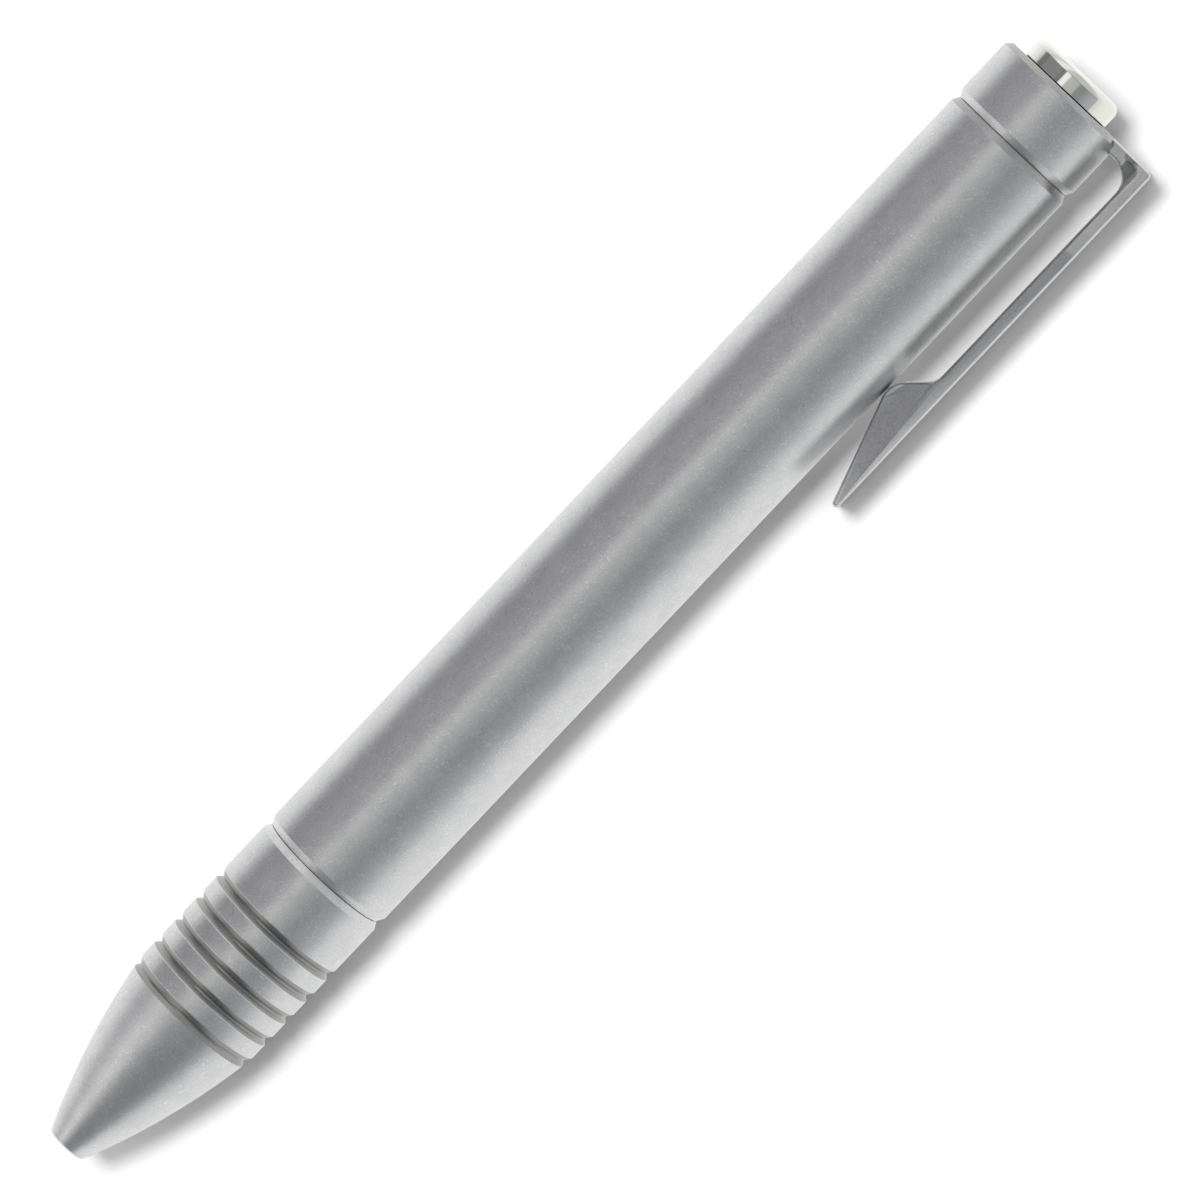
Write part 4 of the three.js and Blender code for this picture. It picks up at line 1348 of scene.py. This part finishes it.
# %% [markdown]
# ## The table
# The table is a plain white sheet that only has to take the pen's shadow. To the camera it is white paper,
# with a slight glow where the open sky reaches it, which clears the outer part of the shadow, and another
# in the narrow gap under the clip, which light would reach between the two metals. How open each spot lies
# comes from ambient occlusion. The metal mirrors the table as a white that fades far from the pen, on the
# clip's side, and close under the pen, and that is never brighter than white. Only a ray that comes
# straight off the metal sees that white. A ray that has bounced off something dull sees a light grey
# instead, so that the table does not light the pen too much from below.

# %% The floor
def ray_kinds(tree):
    """Which kind of ray meets the material, and a value that is 1 when it comes straight off the metal."""
    seen_by = add_node(tree, "LightPath").outputs
    glossy, dull_bounces = seen_by["Is Glossy Ray"], seen_by["Diffuse Depth"]
    return seen_by, add_node(tree, "Math", (glossy, dull_bounces), operation="SUBTRACT", use_clamp=True)


floor_half = 6.0
bm = bmesh.new()
bmesh.ops.create_grid(bm, x_segments=1, y_segments=1, size=floor_half)
floor = link("floor", bm)

floor_material = bpy.data.materials.new("white_table")
floor_material.use_nodes = True
floor_material.cycles.emission_sampling = "NONE"
tree = floor_material.node_tree
tree.nodes.remove(tree.nodes["Principled BSDF"])
print("the table is", 2 * floor_half, "metres wide")

# %% What the camera sees of the floor
open_reach = 20 * mm
open_glow, covered_glow = 0.1, 0.3
seen_by, off_metal = ray_kinds(tree)
openness = add_node(tree, "AmbientOcclusion", {"Distance": open_reach}, samples=12).outputs["AO"]
paper_glow = add_node(tree, "MapRange", (openness, 0.4, 0.62, 0.0, open_glow))
gap_glow = add_node(tree, "MapRange", (openness, 0.06, 0.26, covered_glow, 0.0))
both_glows = add_node(tree, "Math", (paper_glow, gap_glow), operation="ADD")
white = linear("#FFFFFF")
paper = add_node(tree, "BsdfDiffuse", (linear("#FAFAFA"),))
glow = add_node(tree, "Emission", (white, both_glows))
glowing_paper = add_node(tree, "AddShader", (paper, glow))
print("the paper glows by up to", open_glow, "in the open and", covered_glow, "in the gap")

# %% What the metal sees of the floor
white_until, faded_from = 12 * mm, 60 * mm
clip_side, other_side = -8 * mm, 4 * mm
place = add_node(tree, "TexCoord").outputs["Object"]
across = add_node(tree, "SeparateXYZ", (place,)).outputs["Y"]
from_pen = add_node(tree, "Math", (across,), operation="ABSOLUTE")
by_distance = add_node(tree, "MapRange", (from_pen, white_until, faded_from, 1.0, 0.82))
by_side = add_node(tree, "MapRange", (across, clip_side, other_side, 0.86, 1.0))
white_level = add_node(tree, "Math", (by_distance, by_side), operation="MULTIPLY")
mirror_glow = add_node(tree, "MapRange", (openness, 0.0, 0.1, 0.0, white_level))
mirror = add_node(tree, "Emission", (white, mirror_glow))
bounce = add_node(tree, "BsdfDiffuse", (linear("#D9D9D9"),))
for_camera = add_node(tree, "MixShader", (seen_by["Is Camera Ray"], bounce, glowing_paper))
surface = add_node(tree, "MixShader", (off_metal, for_camera, mirror))
tree.links.new(surface.outputs[0], tree.nodes["Material Output"].inputs["Surface"])
floor.data.materials.append(floor_material)
print("the floor has the material", floor_material.name)

# %% [markdown]
# ## The studio round the pen
# Metal has almost no colour of its own: what gives a pen its look is what it mirrors. The pen in the
# picture mirrors a white room near the horizon, grey cards overhead, and a narrow strip light that runs
# along it. Area lights could stand in for them, but their places would have to be guessed one by one. The
# sky is easier: a direction's turn about the pen's axis says which card it meets, so a colour ramp over
# that turn holds a whole ring of cards. Turn 0 is straight towards the camera, and the turn grows towards
# the clip. Two rings are needed: what the straight barrel mirrors, and what the cone and the chamfers
# mirror further out.

# %% The two rings of cards
near_cards = [
    (-118, "#F2F2F2"),
    (-98, "#C9C9CB"),
    (-92, "#737377"),
    (-80, "#707074"),
    (-77, "#818186"),
    (-36, "#838389"),
    (-32, "#76767A"),
    (-25, "#78787B"),
    (-23, "#F2F2F2"),
    (-12, "#F2F2F2"),
    (-10, "#BABAB8"),
    (13, "#B1B2B2"),
    (17, "#898C8F"),
    (30, "#878B90"),
    (50, "#A0A4A8"),
    (72, "#B0B2B4"),
]
far_cards = [
    (-112, "#F2F2F2"),
    (-84, "#AEAEB0"),
    (-70, "#BABABB"),
    (-56, "#F2F2F2"),
    (-36, "#F2F0ED"),
    (-22, "#9F9F9F"),
    (-8, "#7D7F82"),
    (45, "#777A7F"),
    (62, "#86898D"),
    (90, "#BDBDBD"),
    (112, "#F2F2F2"),
]

world = bpy.data.worlds.new("studio")
scene.world = world
world.use_nodes = True
tree = world.node_tree
background = tree.nodes["Background"]
ray = add_node(tree, "TexCoord").outputs["Generated"]
toward_side, toward_clip, toward_tail = [
    add_node(tree, "VectorMath", (ray, direction), operation="DOT_PRODUCT").outputs["Value"]
    for direction in (side, out, along)]
turn = add_node(tree, "Math", (toward_clip, toward_side), operation="ARCTAN2")
turn_share = add_node(tree, "MapRange", (turn, -math.pi, math.pi))
print("cards near and far:", len(near_cards), len(far_cards))


def ring_of_cards(cards):
    """A colour ramp over the turn about the pen, with a stop for each (degrees, colour)."""
    ramp = add_node(tree, "ValToRGB", (turn_share,))
    stops = ramp.color_ramp.elements
    while len(stops) > 1:
        stops.remove(stops[-1])
    for i, (degrees, colour) in enumerate(cards):
        stop = stops[0] if i == 0 else stops.new((degrees + 180) / 360)
        stop.position = (degrees + 180) / 360
        stop.color = linear(colour)
    return ramp.outputs[0]


# %% [markdown]
# The near cards are short. Past their ends, towards the nose and the tail, the metal sees the far ones.
# Behind the tail a pale screen fades in over them. The edges below are sines of the angle out of the plane
# across the pen, and each blends over about ten degrees. Only a ray that comes straight off the metal sees
# the cards. Every other ray finds a plain light grey, apart from the camera's own and those through clear
# pieces, which find white.

# %% The ends of the near cards, and who sees the sky
nose_edge, tail_edge, screen_edge = (-0.42, -0.25), (0.14, 0.26), (0.2, 0.4)
screen_share = 0.55
past_nose_edge = add_node(tree, "MapRange", (toward_tail, *nose_edge), interpolation_type="SMOOTHSTEP")
before_tail_edge = add_node(tree, "MapRange", (toward_tail, *tail_edge, 1.0, 0.0),
                            interpolation_type="SMOOTHSTEP")
near = add_node(tree, "Math", (past_nose_edge, before_tail_edge), operation="MULTIPLY")
cards = add_node(tree, "Mix", {
    0: near, 6: ring_of_cards(far_cards), 7: ring_of_cards(near_cards)}, data_type="RGBA").outputs[2]
behind_tail = add_node(tree, "MapRange", (toward_tail, *screen_edge, 0.0, screen_share),
                       interpolation_type="SMOOTHSTEP")
lit_sky = add_node(tree, "Mix", {
    0: behind_tail, 6: cards, 7: linear("#E7E7E5")}, data_type="RGBA").outputs[2]

seen_by, off_metal = ray_kinds(tree)
for_pieces = add_node(tree, "Mix", {
    0: off_metal, 6: linear("#B3B2B3"), 7: lit_sky}, data_type="RGBA").outputs[2]
see_white = add_node(tree, "Math", (seen_by["Is Camera Ray"], seen_by["Is Transmission Ray"]),
                     operation="MAXIMUM")
all_rays = add_node(tree, "Mix", {0: see_white, 6: for_pieces, 7: white}, data_type="RGBA").outputs[2]
tree.links.new(all_rays, background.inputs["Color"])
background.inputs["Strength"].default_value = 1.0
world.cycles.sampling_method = "NONE"
print("the sky of", world.name, "has", len(tree.nodes), "nodes")

# %% [markdown]
# ## The lamp
# The pen's shadow hugs it on the side that the camera looks under, and fades out within four millimetres.
# That is the mark of one very large soft lamp almost straight overhead. A Sun with a wide angle gives it.
# Its own glint is kept out of the metal, because the sky already holds the lamps that the metal mirrors.

# %% The sun lamp
lamp_strength = 1.95
lamp_width = math.radians(20)
lamp_from = Vector((0.0, 0.025, 1.0))

lamp = bpy.data.lights.new("soft_lamp", "SUN")
lamp.energy = lamp_strength
lamp.angle = lamp_width
lamp_object = bpy.data.objects.new("soft_lamp", lamp)
lamp_object.rotation_euler = lamp_from.to_track_quat("Z", "Y").to_euler()
lamp_object.visible_glossy = False
scene.collection.objects.link(lamp_object)
print("lamp strength", lamp_strength, "and width", round(math.degrees(lamp_width)), "degrees")

# %% [markdown]
# ## The camera
# The picture was taken with a long lens from high above the tail. The rings on the nose show as thin ovals
# while those near the tail are straight lines, so the camera stands square above the tail end, 0.77 m away,
# and looks a little towards the nose. It is rolled so that the pen runs from the lower left to the upper
# right.

# %% The camera
camera_distance = 770
camera_station = 125.8
look_station = 64.48
look_out = 1.07
pen_rise = math.radians(46.55)
lens_length = 276.9
film_width = 36

camera_data = bpy.data.cameras.new("camera")
camera_data.lens = lens_length
camera_data.sensor_width = film_width
camera_data.clip_start = 0.01
camera_data.clip_end = 20
camera = bpy.data.objects.new("camera", camera_data)
eye = pen_frame @ Vector((look_out, camera_station, camera_distance))
target = pen_frame @ Vector((look_out, look_station, 0))
backwards = (eye - target).normalized()
pen_line = (along - backwards * along.dot(backwards)).normalized()
clip_line = pen_line.cross(backwards)
right = pen_line * math.cos(pen_rise) + clip_line * math.sin(pen_rise)
camera_axes = Matrix((right, backwards.cross(right), backwards)).transposed().to_4x4()
camera.matrix_world = Matrix.Translation(eye) @ camera_axes
scene.collection.objects.link(camera)
scene.camera = camera
scene.view_settings.view_transform = "Standard"
print("camera at", [round(metres, 3) for metres in eye], "metres")
